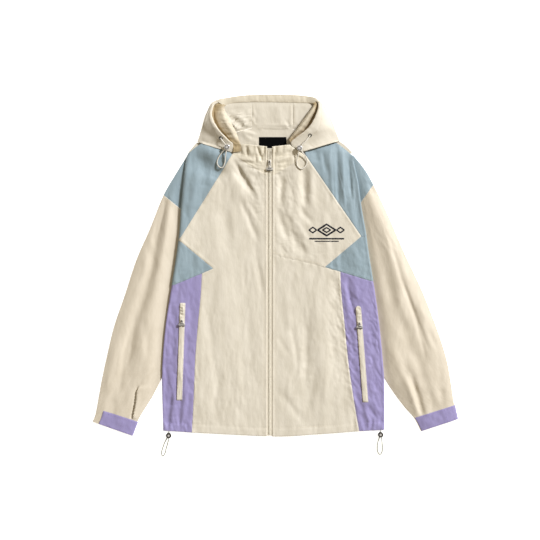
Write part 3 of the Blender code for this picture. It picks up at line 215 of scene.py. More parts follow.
# Drawcords, as points in plan
LEFT_LOCK = Corner(-113, 278.5)
RIGHT_LOCK = Corner(57.5, 276)
HEM_LEFT_LOCK = Corner(-251.3, -401.5)
HEM_RIGHT_LOCK = Corner(249.5, -399.5)
HOOD_LOCK_REST = {-1: 19.0, 1: 20.0}    # height of the cloth bunched under each hood lock
LEFT_EYELET = (2.35, 0.78)     # row and share of the way from the hood's side fold to its rim
RIGHT_EYELET = (3.15, 0.72)
HOOD_LOOPS = {
    "left": [(-118.9, 273.9), (-127, 264), (-134.5, 252), (-136.5, 241), (-131, 232), (-124.5, 231),
             (-119.5, 239), (-117, 253), (-114.6, 271.8)],
    "right": [(61.9, 269.9), (70.5, 259), (75, 246), (71, 234), (61, 228), (53.5, 233.5),
              (51, 246), (53.5, 258.5), (55.5, 269.3)],
}
HEM_LOOPS = {
    "left": [(-255.4, -407.6), (-260.4, -418), (-265.4, -432), (-268, -444), (-265.4, -450.5), (-261.2, -446),
             (-257, -432), (-253.2, -419), (-250.9, -409.0)],
    "right": [(246.4, -406.5), (243.5, -416), (242, -429), (243.5, -441), (248.5, -446.5), (253, -441),
              (254, -429), (252.8, -416), (251.4, -407.0)],
}

# Where the gathered end of the left pocket strip is caught down
ZIP_GARAGE_DIMPLES = ((-220.9, -100.8), (-220.2, -108.5), (-221.4, -116.0))

# Neck label: its middle and top, and its width and height
LABEL_X, LABEL_TOP = -5.6, 304.0
LABEL_WIDTH, LABEL_HEIGHT = 65.0, 26.0

# Pocket zips: top and bottom of the strip's middle, and the slider's y
POCKETS = {
    "left": (Corner(-218, -88), Corner(-226, -318), -131.0),
    "right": (Corner(196, -95), Corner(213.5, -322.5), -137.0),
}


# ---------------------------------------------------------------- creases and seams

# Creases of the body cloth, as lines like the folds above: troughs are negative, ridges positive
BODY_CREASES = table(Fold, [
    (-92, 236, -54, 176, 4.0, -1.2), (-82, 242, -46, 190, 6.0, 1.1), (-70, 134, -44, 56, 5.0, -0.6),
    (-48, 56, -29, -70, 6.5, -0.8), (-128, 190, -118, 60, 17, -1.0), (-132, 20, -160, -144, 11, -0.9),
    (-155, -134, -137, -298, 8.0, -1.3), (-123, -236, -148, -344, 8.0, -1.1), (-95, -24, -85, -375, 13, 0.8),
    (-44, 14, -22, -80, 7.5, -0.8), (-62, -120, -56, -300, 9.0, -0.7), (-172, -60, -178, -360, 8.0, 0.9),
    (-105, 160, -92, 20, 8.0, 0.6), (16, 212, 12, 152, 7.0, -1.5), (5, 134, 30, 55, 6.5, -1.5),
    (30, 120, 62, 26, 7.5, -1.0), (42, 138, 46, 70, 6.0, 0.9), (66, 240, 70, 136, 7.5, -2.4),
    (224, -314, 250, -350, 4.6, 1.7), (217, -328, 240, -360, 4.4, -1.5), (209, -336, 226, -374, 4.4, 1.4),
    (202, -346, 214, -384, 4.2, -1.2), (85, 236, 87, 132, 8.0, 1.9), (-99, 228, -50, 165, 6.5, -1.7),
    (-86, 233, -39, 172, 7.0, 1.6), (12, 50, 31, 13, 6.0, -0.9), (58, 129, 86, 101, 5.5, -0.9),
    (66, 96, 84, 60, 6.0, -0.8), (116, 134, 120, 20, 6.5, 0.8), (132, 128, 136, 30, 6.0, -0.6),
    (40, -136, 54, -240, 6.5, -1.5), (76, -112, 71, -330, 8.0, -1.3), (137, -24, 146, -80, 8.5, -1.6),
    (132, -160, 152, -276, 7.0, -0.8), (3, -164, 31, -210, 6.0, -0.8), (12, -298, 72, -376, 9.0, -1.4),
    (96, -236, 77, -344, 8.0, -1.1), (118, -228, 118, -378, 11, 0.9), (24, -60, 34, -150, 8.0, 0.7),
    (171, -26, 177, -86, 4.2, -2.0), (176, -76, 189, -120, 3.4, -1.9), (162, -44, 174, -108, 5.0, 1.1),
    (184, -34, 198, -84, 6.5, 1.1), (-226, -250, -250, -330, 6.5, -1.6), (-221, -300, -229, -384, 5.0, -1.4),
    (-236, -290, -244, -372, 6.0, 1.2), (-247, -310, -252, -380, 5.0, -1.4),
    (-209, -290, -217, -372, 5.5, 1.1), (160, -98, 184, -190, 6.0, -1.3), (165, -168, 193, -214, 5.5, -1.2),
    (170, -214, 198, -262, 5.5, -1.2), (179, -250, 206, -298, 5.5, -1.3), (184, -298, 216, -354, 6.0, -1.3),
    (176, -286, 196, -336, 5.5, 0.8), (220, -298, 244, -344, 5.5, -1.1), (222, -120, 232, -200, 8.0, -0.8),
    (226, -210, 240, -270, 6.5, -0.8), (-220, -24, -239, -90, 8.0, -1.2), (-197, -80, -206, -236, 7.0, -0.9),
    (-220, -260, -238, -344, 7.5, -1.2), (-238, -140, -244, -250, 8.0, -0.7),
    (-204, -300, -212, -372, 6.0, -0.9), (-188, 226, -202, 120, 9.0, 0.9), (-160, 204, -175, 138, 10, -1.1),
    (-126, 262, -138, 205, 9.0, -0.9), (156, 232, 162, 150, 7.5, 1.0), (120, 244, 134, 190, 7.0, -1.0),
    (188, 180, 197, 86, 6.5, -1.0), (172, 226, 180, 150, 6.0, -0.9), (160, 36, 150, 4, 7.0, -1.2),
    (186, 46, 196, -8, 9.0, 0.9), (-200, 40, -196, -10, 8.0, -0.9), (-186, 30, -176, -8, 7.0, 0.7),
    (-222, 20, -231, -34, 7.0, -0.7),
    # left chest, hanging from the neck
    (-99, 250, -72, 204, 4.0, -1.6), (-88, 164, -36, 52, 5.0, -0.9), (-78, 170, -28, 66, 6.5, 0.7),
    (-120, 140, -100, 10, 15, -1.0), (-60, 200, -34, 150, 5.0, 0.5), (-66, 152, -40, 118, 5.0, -0.8),
    # right chest, where the cloth is crushed
    (64, 238, 70, 140, 8.0, -1.4), (14, 200, 14, 140, 6.5, -1.3), (2, 222, 22, 190, 6.0, -1.2),
    (55, 140, 86, 104, 6.0, -1.3), (34, 86, 66, 30, 7.5, -1.4), (17, 102, 30, 66, 6.0, -1.0),
    (50, 104, 74, 62, 5.5, 0.9), (28, 176, 34, 110, 8.0, 1.1), (58, 72, 70, 24, 5.0, -0.9),
    # shoulders
    (146, 276, 150, 130, 4.4, -2.0), (159, 270, 164, 130, 4.4, 1.7), (173, 258, 180, 160, 3.6, -1.8),
    (128, 274, 134, 170, 5.5, 1.6), (112, 270, 120, 220, 4.5, -1.5), (96, 272, 98, 244, 9.0, -2.0),
    (-184, 283, -98, 239, 18, 5.2), (-198, 252, -110, 208, 22, -4.6), (-184, 226, -202, 130, 14, 1.6),
    (-196, 190, -214, 110, 8.0, -1.0), (-150, 262, -160, 190, 10, 1.0), (-176, 250, -190, 150, 7.0, 0.8),
])

# Creases of the collar and the neck, pulled in by the drawcord
COLLAR_CREASES = table(Fold, [
    (-86, 284, -80, 262, 4.0, -1.1), (-76, 284, -74, 264, 3.4, 0.9), (-67.5, 281, -66, 257, 2.7, -1.5),
    (-60, 282, -57, 262, 4.4, 1.1), (-50, 282, -48, 266, 3.4, -0.7), (-42.5, 281, -37, 262, 2.7, -1.8),
    (-37, 266, -30, 245, 2.7, -1.6), (-24.5, 280, -28, 262, 2.5, -1.6), (-28, 264, -35, 248, 2.5, -1.5),
    (-33, 276, -32, 260, 3.0, 1.0), (-46, 264, -45, 240, 2.6, -1.0), (-4, 280, -5, 264, 3.0, 0.9),
    (3, 281, -1, 258, 2.8, -1.2), (12, 282, 8, 266, 3.6, 0.7), (21, 283, 17, 266, 3.0, -0.8),
    (37, 283, 31, 264, 3.4, -0.9), (-88, 246, -42, 239, 3.8, -1.3), (-86, 253, -48, 247, 4.6, 1.0),
    (-72, 233, -30, 224, 4.4, -0.9), (-66, 226, -28, 217, 4.4, 0.7), (-4, 254, 42, 270, 5.0, -1.2),
    (-2, 246, 44, 258, 5.5, 1.0), (15, 228, 40, 264, 4.0, -1.2), (24, 222, 48, 256, 4.6, 1.0),
    (-2, 238, 30, 244, 3.4, -0.9), (-2, 230, 24, 233, 3.2, -0.9), (-2, 223, 20, 224, 3.0, -0.7),
    (-2, 214, 22, 216, 3.0, -0.8), (40, 262, 64, 238, 6.0, -1.2),
])

# Creases of the sleeves
SLEEVE_CREASES = table(Fold, [
    (-330, 60, -362, -90, 14, 1.2), (-352, -198, -370, -304, 7.0, -1.3), (-384, -180, -400, -300, 13, 1.2),
    (-310, -120, -300, -220, 9.0, -0.9), (-296, -200, -316, -300, 10, 0.9),
    (-376, -320, -386, -366, 7.0, -0.8), (-262, 166, -254, 196, 14, -1.4), (-238, 214, -222, 240, 12, 1.2),
    (292, 40, 316, -44, 6.5, 0.9), (286, -60, 318, -146, 9.0, 1.2), (340, -90, 366, -160, 7.0, 1.2),
    (352, -120, 380, -196, 6.5, -1.3), (296, -120, 330, -230, 13, -1.4), (280, -70, 296, -190, 15, 1.6),
    (316, -210, 340, -300, 10, 1.2), (322, -252, 347, -344, 7.0, -2.2), (352, -230, 376, -330, 11, 1.3),
    (384, -200, 396, -320, 10, -1.0), (270, -180, 318, -316, 10, 1.0), (220, 200, 236, 170, 12, -1.2),
    # right sleeve, pleated into its cuff
    (322, -270, 351, -360, 6.5, -2.6), (308, -262, 340, -356, 8.0, 1.8), (366, -300, 372, -350, 8.0, -1.2),
    (392, -290, 398, -340, 8.0, -1.0),
])

# Long creases of the sleeves that bend on their way down
Bent = namedtuple("Bent", "line width height")
BENT_CREASES = [
    Bent([(-262, 215), (-268, 143), (-276, 77), (-291, -3), (-309, -69), (-328, -120), (-344, -184),
          (-352, -292)], 12, -3.8),
    Bent([(-248, 160), (-257, 80), (-270, 0), (-288, -84), (-306, -166), (-322, -262)], 13, 1.9),
    Bent([(264, 84), (276, 44), (304, -49), (328, -112), (352, -200), (360, -250)], 5.0, -1.5),
    Bent([(300, -30), (320, -90), (344, -150), (368, -214)], 4.5, -1.2),
    Bent([(248, 190), (260, 120), (274, 30), (292, -60), (310, -130)], 14, 1.3),
]

# The slit above the left cuff, whose inner side laps over the outer one
LEFT_SLIT = [(-321, -283), (-327, -300), (-329.5, -324), (-338, -368)]

# Creases of the hood's outer faces and of its inside
HOOD_CREASES = table(Fold, [
    (-168, 330, -146, 300, 8.0, -0.9), (-160, 352, -134, 306, 7.0, 0.8), (-150, 300, -118, 282, 7.0, -0.9),
    (-176, 304, -152, 290, 7.0, 0.7), (136, 316, 108, 296, 9.0, -0.9), (124, 340, 96, 306, 8.0, 0.9),
    (112, 300, 72, 280, 7.0, -0.8), (148, 302, 120, 288, 6.0, 0.7),
])
INSIDE_CREASES = table(Fold, [
    (-88, 332, -38, 318, 6.0, -2.0), (-92, 324, -44, 309, 5.0, 2.2), (-104, 344, -80, 306, 6.0, 1.8),
    (-86, 352, -62, 326, 5.0, 1.2), (-46, 328, 16, 321, 5.0, 1.5), (-78, 316, -58, 296, 5.0, 1.5),
    (-60, 300, -40, 290, 6.0, 1.0), (-64, 372, -70, 336, 6.0, 1.0), (-20, 330, 36, 327, 5.0, 1.0),
    (46, 370, 34, 320, 8.0, 1.0), (-36, 376, -30, 344, 9.0, 0.8), (10, 374, 8, 342, 10.0, 0.7),
])

# Crushed patches: where, how far they reach, the lean of their wrinkles, and the wrinkles' size
Patch = namedtuple("Patch", "x y reach_x reach_y lean width length height")
CRUSHED = table(Patch, [
    (148, -130, 24, 150, 28, 5.0, 19, 1.0), (184, -170, 26, 150, 34, 6.0, 24, 1.8),
    (232, -200, 24, 170, 24, 5.5, 26, 1.7), (60, -230, 60, 130, -6, 6.5, 24, 0.5),
    (-46, 160, 26, 80, 26, 5.5, 20, 0.7), (40, 160, 50, 70, 22, 6.0, 22, 0.9),
    (44, 60, 42, 50, 36, 5.5, 22, 0.8), (104, 40, 46, 60, 12, 6.0, 26, 0.5),
    (-90, -300, 90, 80, 0, 6.0, 22, 0.4), (-226, -220, 36, 190, 8, 7.0, 34, 1.8),
    (160, 190, 40, 80, 4, 5.0, 34, 0.7), (-150, 220, 50, 70, -12, 8.0, 30, 0.9),
    (-40, 240, 46, 30, 70, 4.5, 18, 0.7), (16, 236, 34, 34, 100, 4.5, 18, 0.7),
])

# Places where the cloth lies still under metal or cord
CALM = [(-219.5, -131, 13), (199.2, -137, 13), (-13, 244, 13), (-128, 245, 13), (61, 245, 15),
        (-113, 278, 10), (57, 276, 10)]

# Rows of the solid's panels: up the side, above the armholes and between armhole and side seam
SIDE_ROWS = 15
UPPER_ROWS = 8
LOWER_ROWS = 5


# ---------------------------------------------------------------- curves and tables

def between_slopes(low, high, slope_low, slope_high, t, step=1.0):
    """A smooth curve from low to high over a step, with a slope given at each end."""
    rise = t * t * (3 - 2 * t)
    return (low * (1 - rise) + high * rise
            + step * (t * (1 - t) ** 2 * slope_low - t * t * (1 - t) * slope_high))


def smooth(rows, column, at, key="y"):
    """A column's value at each place along the key column, on a smooth curve through the rows."""
    places = np.array([getattr(row, key) for row in rows], float)
    values = np.array([getattr(row, column) for row in rows], float)
    order = np.argsort(places)
    places, values = places[order], values[order]
    slopes = np.gradient(values, places)
    at = np.clip(np.asarray(at, float), places[0], places[-1])
    i = np.clip(np.searchsorted(places, at, side="right") - 1, 0, len(places) - 2)
    step = places[i + 1] - places[i]
    return between_slopes(values[i], values[i + 1], slopes[i], slopes[i + 1], (at - places[i]) / step, step)


def along(rows, column, at):
    """A column's value at a fractional row number."""
    values = np.array([getattr(row, column) for row in rows], float)
    slopes = np.gradient(values)
    at = np.clip(np.asarray(at, float), 0, len(values) - 1)
    i = np.clip(np.floor(at).astype(int), 0, len(values) - 2)
    return between_slopes(values[i], values[i + 1], slopes[i], slopes[i + 1], at - i)


def soft_step(t):
    t = np.clip(t, 0, 1)
    return t * t * (3 - 2 * t)


def bell(distance, reach):
    """One at no distance, falling softly to nothing past the reach."""
    return np.exp(-(distance / reach) ** 2)


def polyline(corners, counts):
    """Points along straight runs between corners, with each run cut into its own count of steps."""
    points = [corners[0]]
    for start, end, count in zip(corners[:-1], corners[1:], counts):
        for i in range(1, count + 1):
            points.append(tuple(np.array(start) + (np.array(end) - np.array(start)) * i / count))
    return np.array(points, float)


def resampled(corners, count):
    """Count + 1 points evenly spaced along a smooth curve through the corners."""
    corners = np.array(corners, float)
    length = np.concatenate([[0], np.cumsum(np.linalg.norm(np.diff(corners, axis=0), axis=1))])
    slopes = np.gradient(corners, length, axis=0)
    at = np.linspace(0, length[-1], count + 1)
    i = np.clip(np.searchsorted(length, at, side="right") - 1, 0, len(length) - 2)
    step = (length[i + 1] - length[i])[:, None]
    t = (at - length[i])[:, None] / step
    return between_slopes(corners[i], corners[i + 1], slopes[i], slopes[i + 1], t, step)


def coons(bottom, top, left, right):
    """A grid of points inside four border chains: bottom and top run rightwards, left and right upwards."""
    u = np.linspace(0, 1, len(bottom))[None, :, None]
    v = np.linspace(0, 1, len(left))[:, None, None]
    between_rows = (1 - v) * bottom[None] + v * top[None]
    between_columns = (1 - u) * left[:, None] + u * right[:, None]
    corners = ((1 - u) * (1 - v) * bottom[0] + u * (1 - v) * bottom[-1]
               + (1 - u) * v * top[0] + u * v * top[-1])
    return between_rows + between_columns - corners


def sided(side, low, high, inner, outer):
    """A grid for a panel of either side, from its bottom and top drawn outwards and its two upright edges."""
    if side < 0:
        return coons(low[::-1], high[::-1], outer, inner)
    return coons(low, high, inner, outer)


def border_places(rows, columns):
    """Row and column of each border point of a grid, once round it."""
    return ([(0, j) for j in range(columns - 1)] + [(i, columns - 1) for i in range(rows - 1)]
            + [(rows - 1, j) for j in range(columns - 1, 0, -1)] + [(i, 0) for i in range(rows - 1, 0, -1)])


# ---------------------------------------------------------------- the body's surface

def side_of(x):
    return np.where(x < ZIP_X, -1.0, 1.0)


def fold_x(side, y):
    return np.where(side < 0, smooth(EDGES, "left", y), smooth(EDGES, "right", y))


FADE = 0.35            # part of a fold's length over which each end fades out


def fold_relief(folds, x, y):
    """Sum of soft ridges and troughs, each fading out towards both ends of its line."""
    total = np.zeros(np.broadcast(x, y).shape)
    for fold in folds:
        run = np.array([fold.x1 - fold.x0, fold.y1 - fold.y0], float)
        length = np.hypot(*run)
        run /= length
        ahead = ((x - fold.x0) * run[0] + (y - fold.y0) * run[1]) / length
        across = (x - fold.x0) * run[1] - (y - fold.y0) * run[0]
        ends = soft_step(ahead / FADE + 0.3) * soft_step((1 - ahead) / FADE + 0.3)
        total = total + fold.height * ends * bell(across, fold.width)
    return total


def front_height(x, y, inward):
    """Height of the cloth's middle on the front, at a distance inward from the side fold."""
    from_zip = np.abs(x - ZIP_X)
    side = smooth(LEVELS, "side", y)
    height = side + (smooth(LEVELS, "middle", y) - side) * soft_step((inward - ROLL) / 65)
    height = height + (smooth(LEVELS, "zip", y) - height) * soft_step((100 - from_zip) / 70)
    fade = soft_step((inward - ROLL - 8) / 25) * soft_step((from_zip - 12) / 20)
    return height + fold_relief(BODY_FOLDS, x, y) * fade


def side_roll(y):
    """Under level, half height and length round of the soft roll at the body's side."""
    under = smooth(LEVELS, "under", y)
    half = (smooth(LEVELS, "side", y) - under) / 2
    return under, half, math.pi * np.sqrt((ROLL ** 2 + half ** 2) / 2)


def body_point(x, y):
    """A point of the cloth's middle. Past the side fold, x goes on round the roll and in under the body."""
    side = side_of(x)
    edge = fold_x(side, y)
    inward = side * (edge - x)
    under, half, arc = side_roll(y)
    past = ROLL - inward
    angle = math.pi / 2 - math.pi * np.clip(past / arc, 0, 1)
    beneath = np.maximum(past - arc, 0)
    from_edge = np.where(past > 0, ROLL - ROLL * np.cos(angle) + beneath, inward)
    low = under + (FLOOR - under) * soft_step((beneath + ROLL - 13) / 12)
    rolled = np.where(beneath > 0, low, under + half + half * np.sin(angle))
    height = np.where(past > 0, rolled, front_height(x, y, np.maximum(inward, ROLL)))
    return np.stack(np.broadcast_arrays(edge - side * from_edge, y, height), axis=-1)


def body_grid(grid, lift=0.0):
    """Cloth points and unit normals for a grid laid out in the unrolled plane of the body."""
    x, y = grid[..., 0], grid[..., 1]
    step = 0.4
    across = body_point(x + step, y) - body_point(x - step, y)
    ahead = body_point(x, y + step) - body_point(x, y - step)
    normals = np.cross(across, ahead)
    normals /= np.linalg.norm(normals, axis=-1)[..., None]
    return body_point(x, y) + normals * lift, normals


def unrolled_x(side, y, beneath):
    """Where a line lies in the unrolled plane that is this far beneath the body, in from the roll's end."""
    return fold_x(side, y) - side * (ROLL - side_roll(y)[2] - beneath)


def hem_y(x):
    return smooth(HEM, "y", x, key="x")


def side_seam(side, count=SIDE_ROWS):
    """The side seam from the hem up, in the unrolled plane."""
    column = "left" if side < 0 else "right"
    top = LEFT_SIDE_TOP if side < 0 else RIGHT_SIDE_TOP
    x_hem = smooth(SIDE_SEAMS, column, SIDE_SEAMS[-1].y)
    y = np.linspace(float(hem_y(x_hem)), top.y, count + 1)
    return np.stack([smooth(SIDE_SEAMS, column, y), y], axis=1)


def hem_run(x_start, x_end, count):
    x = np.linspace(x_start, x_end, count + 1)
    return np.stack([x, hem_y(x)], axis=1)


def straight(start, end, count):
    return polyline([start, end], [count])


LATTICE = 64           # random values each way before the waviness repeats


def lattice_noise(x, y, width, length, seed):
    """Smooth cloth-like waviness between -1 and 1, with a grain of this width and length."""
    lattice = np.random.default_rng(seed).uniform(-1, 1, (LATTICE, LATTICE))
    u, v = np.asarray(x) / width, np.asarray(y) / length
    i, j = np.floor(u).astype(int), np.floor(v).astype(int)
    s, t = soft_step(u - i), soft_step(v - j)

    def at(right, up):
        return lattice[(i + right) % LATTICE, (j + up) % LATTICE]

    return (at(0, 0) * (1 - s) + at(1, 0) * s) * (1 - t) + (at(0, 1) * (1 - s) + at(1, 1) * s) * t


def crinkle(x, y, seed):
    """Fine lengthwise crinkles of washed nylon, in three sizes, stronger in some places than in others."""
    lean = x + 9 * lattice_noise(x, y, 55, 80, seed + 7)
    strong = 0.75 + 0.45 * lattice_noise(x, y, 70, 110, seed + 5)
    fine = 0.8 + 0.5 * lattice_noise(x, y, 34, 60, seed + 6)
    return (0.62 * lattice_noise(lean, y, 17, 58, seed) * strong
            + 0.46 * lattice_noise(lean, y, 8.5, 27, seed + 1) * strong
            + 0.27 * lattice_noise(lean, y, 4.8, 12, seed + 2) * fine)


def creased(x, y, width, length, seed):
    """Thin crossing creases, as left where nylon has been crushed."""
    wander = x + 0.5 * width * lattice_noise(x, y, 2 * width, length, seed + 3)
    first = lattice_noise(wander, y, width, length, seed)
    second = lattice_noise(wander, y, 1.7 * width, 0.7 * length, seed + 1)
    return 0.9 * np.clip(1 - np.abs(first) / 0.5, 0, 1) - 0.8 * np.clip(1 - np.abs(second) / 0.35, 0, 1)


def crushed(x, y):
    total = np.zeros(np.broadcast(x, y).shape)
    for number, patch in enumerate(CRUSHED):
        lean = math.radians(patch.lean)
        near = bell(x - patch.x, patch.reach_x) * bell(y - patch.y, patch.reach_y)
        across = (x - patch.x) * math.cos(lean) + (y - patch.y) * math.sin(lean)
        down = (y - patch.y) * math.cos(lean) - (x - patch.x) * math.sin(lean)
        wrinkles = creased(across, down, patch.width, patch.length, 200 + 5 * number)
        total = total + patch.height * near * wrinkles
    return total


def hem_gathers(x, y):
    """The hem's casing: a stitched line above it, and gathers where the drawcord pulls it in at the sides."""
    from_hem = y - hem_y(x)
    at_sides = soft_step((np.abs(x + 4) - 180) / 30)
    near_line = bell(from_hem - HEM_DEPTH, 9)
    groove = -0.5 * bell(from_hem - HEM_DEPTH, 1.5)
    casing = 0.45 * soft_step((HEM_DEPTH - from_hem) / 3)
    gather = (0.35 + 1.1 * at_sides) * near_line * lattice_noise(x, y, 4.6, 16, 33)
    below = 0.9 * at_sides * soft_step((HEM_DEPTH + 4 - from_hem) / 6)
    return groove + casing + gather + below * lattice_noise(x, y, 6.5, 14, 34)


def calm(x, y):
    share = np.ones(np.broadcast(x, y).shape)
    for spot_x, spot_y, reach in CALM:
        share = share * (1 - 0.9 * np.exp(-((x - spot_x) ** 2 + (y - spot_y) ** 2) / reach ** 2))
    return share


CREASE_DEPTH = 1.3     # how much deeper the cloth folds than the tables' heights
GATHER_DEPTH = 1.2
GATHER_TOP = 1.2       # height over which gathers are pressed flatter
PLACKET = 6.2          # width of the turned-back cloth along the zip


def body_relief(x, y):
    """Creases and crinkles of the body's cloth over its main form."""
    side = side_of(x)
    inward = side * (fold_x(side, y) - x)
    from_zip = np.abs(x - ZIP_X)
    crease = CREASE_DEPTH * fold_relief(BODY_CREASES, x, y) * soft_step((from_zip - 7) / 14)
    gather = GATHER_DEPTH * fold_relief(COLLAR_CREASES, x, y) * soft_step((from_zip - 5) / 6)
    at_sides = soft_step((np.abs(x + 6) - 178) / 20)
    fine = crinkle(x, y, 11) * (0.55 + 0.45 * soft_step((from_zip - 6) / 12)) * (1 + 0.5 * at_sides)
    hem = soft_step((y - hem_y(x)) / 12)
    low = bell(y - hem_y(x) - 16, 16)
    ripple = 0.45 * low * lattice_noise(x, y, 5.5, 60, 31)
    side_fade = soft_step((inward + 4) / 12)
    drop = np.where(side < 0, -3.4, -2.6) * bell(np.maximum(inward, 0), 24)
    drop = drop * soft_step((y - hem_y(x)) / 30) * np.where(side < 0, 1 - 1.9 * soft_step((y + 110) / 120), 1)
    from_edge = from_zip - ZIP_HALF
    placket = 0.35 * soft_step(PLACKET - from_edge) - 0.6 * bell(from_edge - PLACKET, 1.6)
    lies_high = np.where(gather > GATHER_TOP, GATHER_TOP + (gather - GATHER_TOP) * 0.3, gather)
    by_pocket = np.ones(np.broadcast(x, y).shape)
    for top, bottom, _ in POCKETS.values():
        line_x = np.interp(y, (bottom.y, top.y), (bottom.x, top.x))
        past_ends = np.maximum(np.maximum(y - top.y, bottom.y - y), 0)
        by_pocket = by_pocket * (1 - 0.85 * np.exp(-((x - line_x) ** 2 + past_ends ** 2) / 9.0 ** 2))
    fine = fine + by_pocket * crushed(x, y)
    loose = drop + crease * (0.4 + 0.6 * hem) + lies_high + fine + ripple + hem_gathers(x, y)
    return loose * calm(x, y) * side_fade + placket


def distance_to(line, x, y):
    """Distance from each place to a chain of points, and how far along the chain the nearest point is."""
    shape = np.shape(x)
    places = np.stack([np.ravel(x), np.ravel(y)], axis=1)
    best = np.full(len(places), 1e9)
    at = np.zeros(len(places))
    travelled = 0.0
    for start, end in zip(line[:-1], line[1:]):
        run = end - start
        length = np.hypot(*run)
        if length < 1e-6:
            continue
        share = np.clip(((places - start) @ run) / length ** 2, 0, 1)
        away = np.hypot(*(places - start - share[:, None] * run).T)
        nearer = away < best
        best[nearer] = away[nearer]
        at[nearer] = travelled + share[nearer] * length
        travelled += length
    return best.reshape(shape), at.reshape(shape)


SEAM_ALLOWANCE = 6.0   # width of the doubled cloth beside a topstitched seam


def seam_relief(kind, away, at, seed):
    """How a panel's surface moves near an edge that is joined, joined and topstitched, or turned in."""
    if kind == "turned":
        return -0.9 * np.clip(1 - away / 1.6, 0, 1) ** 2
    if kind == "soft":
        return -0.12 * bell(away, 1.0)
    if kind == "puckered":
        pucker = 0.8 * np.exp(-away / 8) * lattice_noise(at, away, 5.5, 12, seed)
        return -0.3 * bell(away, 1.5) + pucker
    groove = -0.55 * bell(away, 1.3)
    pucker = 0.30 * np.exp(-away / 7) * lattice_noise(at, 0 * at, 4.5, 9, seed)
    if kind == "joined":
        return groove + pucker
    raised = 0.45 * (1 - soft_step((away - SEAM_ALLOWANCE + 0.6) / 1.6))
    stitched = -0.25 * bell(away - SEAM_ALLOWANCE + 1.4, 0.9)
    return groove + pucker + raised + stitched


# ---------------------------------------------------------------- materials

def new_finish(name):
    made = bpy.data.materials.new(name)
    made.use_nodes = True
    tree = made.node_tree
    shader = tree.nodes["Principled BSDF"]
    return made, tree, shader


def add_node(tree, kind, **values):
    node = tree.nodes.new(kind)
    for key, value in values.items():
        if key in node.inputs:
            node.inputs[key].default_value = value
        else:
            setattr(node, key, value)
    return node


def mapped(tree, output, scale):
    place = add_node(tree, "ShaderNodeTexCoord")
    mapping = add_node(tree, "ShaderNodeMapping")
    mapping.inputs["Scale"].default_value = scale
    tree.links.new(place.outputs[output], mapping.inputs["Vector"])
    return mapping.outputs["Vector"]


def bump_over(tree, height, strength, distance, below=None):
    bump = add_node(tree, "ShaderNodeBump", Strength=strength, Distance=distance)
    tree.links.new(height, bump.inputs["Height"])
    if below is not None:
        tree.links.new(below, bump.inputs["Normal"])
    return bump.outputs["Normal"]


def ramp_between(tree, factor, dark, light, low=0.3, high=0.7):
    ramp = add_node(tree, "ShaderNodeValToRGB")
    ramp.color_ramp.elements[0].position = low
    ramp.color_ramp.elements[0].color = (*dark, 1)
    ramp.color_ramp.elements[1].position = high
    ramp.color_ramp.elements[1].color = (*light, 1)
    tree.links.new(factor, ramp.inputs["Fac"])
    return ramp.outputs["Color"]


GROOVE_SHADE_REACH = (0.012, 0.040)    # from the rim, where the painted groove shade starts to fade and where it has gone, in metres
MIX_FIRST, MIX_SECOND, MIX_RESULT = 6, 7, 2    # colour sockets of a mixing node


def nylon(name, dark, light, roughness=0.58, painted_groove_shade=None):
    """Crinkled matte nylon: a fine plain weave, washed-in creases and a faint shift of colour. With a
    painted_groove_shade colour, painted shade lies along the rim (UV x near 0) and fades out within 40 mm.
    """
    made, tree, shader = new_finish(name)
    patches = add_node(tree, "ShaderNodeTexNoise", Scale=1.0, Detail=5.0, Roughness=0.6)
    tree.links.new(mapped(tree, "UV", (38, 16, 1)), patches.inputs["Vector"])
    colour = ramp_between(tree, patches.outputs["Fac"], dark, light)
    # painted shade: the given darker golden colour up to 12 mm from the rim, fading into the cloth's own
    # colour by 40 mm
    if painted_groove_shade:
        apart = add_node(tree, "ShaderNodeSeparateXYZ")
        tree.links.new(mapped(tree, "UV", (1, 1, 1)), apart.inputs["Vector"])
        reach = add_node(tree, "ShaderNodeMapRange", interpolation_type="SMOOTHSTEP")
        reach.inputs["From Min"].default_value, reach.inputs["From Max"].default_value = GROOVE_SHADE_REACH
        tree.links.new(apart.outputs["X"], reach.inputs["Value"])
        mixed = add_node(tree, "ShaderNodeMix", data_type="RGBA")
        tree.links.new(reach.outputs["Result"], mixed.inputs["Factor"])
        mixed.inputs[MIX_FIRST].default_value = (*painted_groove_shade, 1)
        tree.links.new(colour, mixed.inputs[MIX_SECOND])
        colour = mixed.outputs[MIX_RESULT]
    tree.links.new(colour, shader.inputs["Base Color"])
    creases = add_node(tree, "ShaderNodeTexNoise", Scale=1.0, Detail=4.0, Roughness=0.62)
    tree.links.new(mapped(tree, "UV", (170, 70, 1)), creases.inputs["Vector"])
    normal = bump_over(tree, creases.outputs["Fac"], 0.5, 0.0011)
    fine = add_node(tree, "ShaderNodeTexNoise", Scale=1.0, Detail=3.0, Roughness=0.55)
    tree.links.new(mapped(tree, "UV", (620, 260, 1)), fine.inputs["Vector"])
    normal = bump_over(tree, fine.outputs["Fac"], 0.35, 0.00035, normal)
    for axis in ("X", "Y"):
        thread = add_node(tree, "ShaderNodeTexWave", bands_direction=axis, Scale=1.0, Distortion=0.6)
        tree.links.new(mapped(tree, "UV", (900, 900, 1)), thread.inputs["Vector"])
        normal = bump_over(tree, thread.outputs["Fac"], 0.12, 0.00008, normal)
    tree.links.new(normal, shader.inputs["Normal"])
    shader.inputs["Roughness"].default_value = roughness
    shader.inputs["Specular IOR Level"].default_value = 0.35
    shader.inputs["Sheen Weight"].default_value = 0.12
    shader.inputs["Sheen Roughness"].default_value = 0.5
    return made


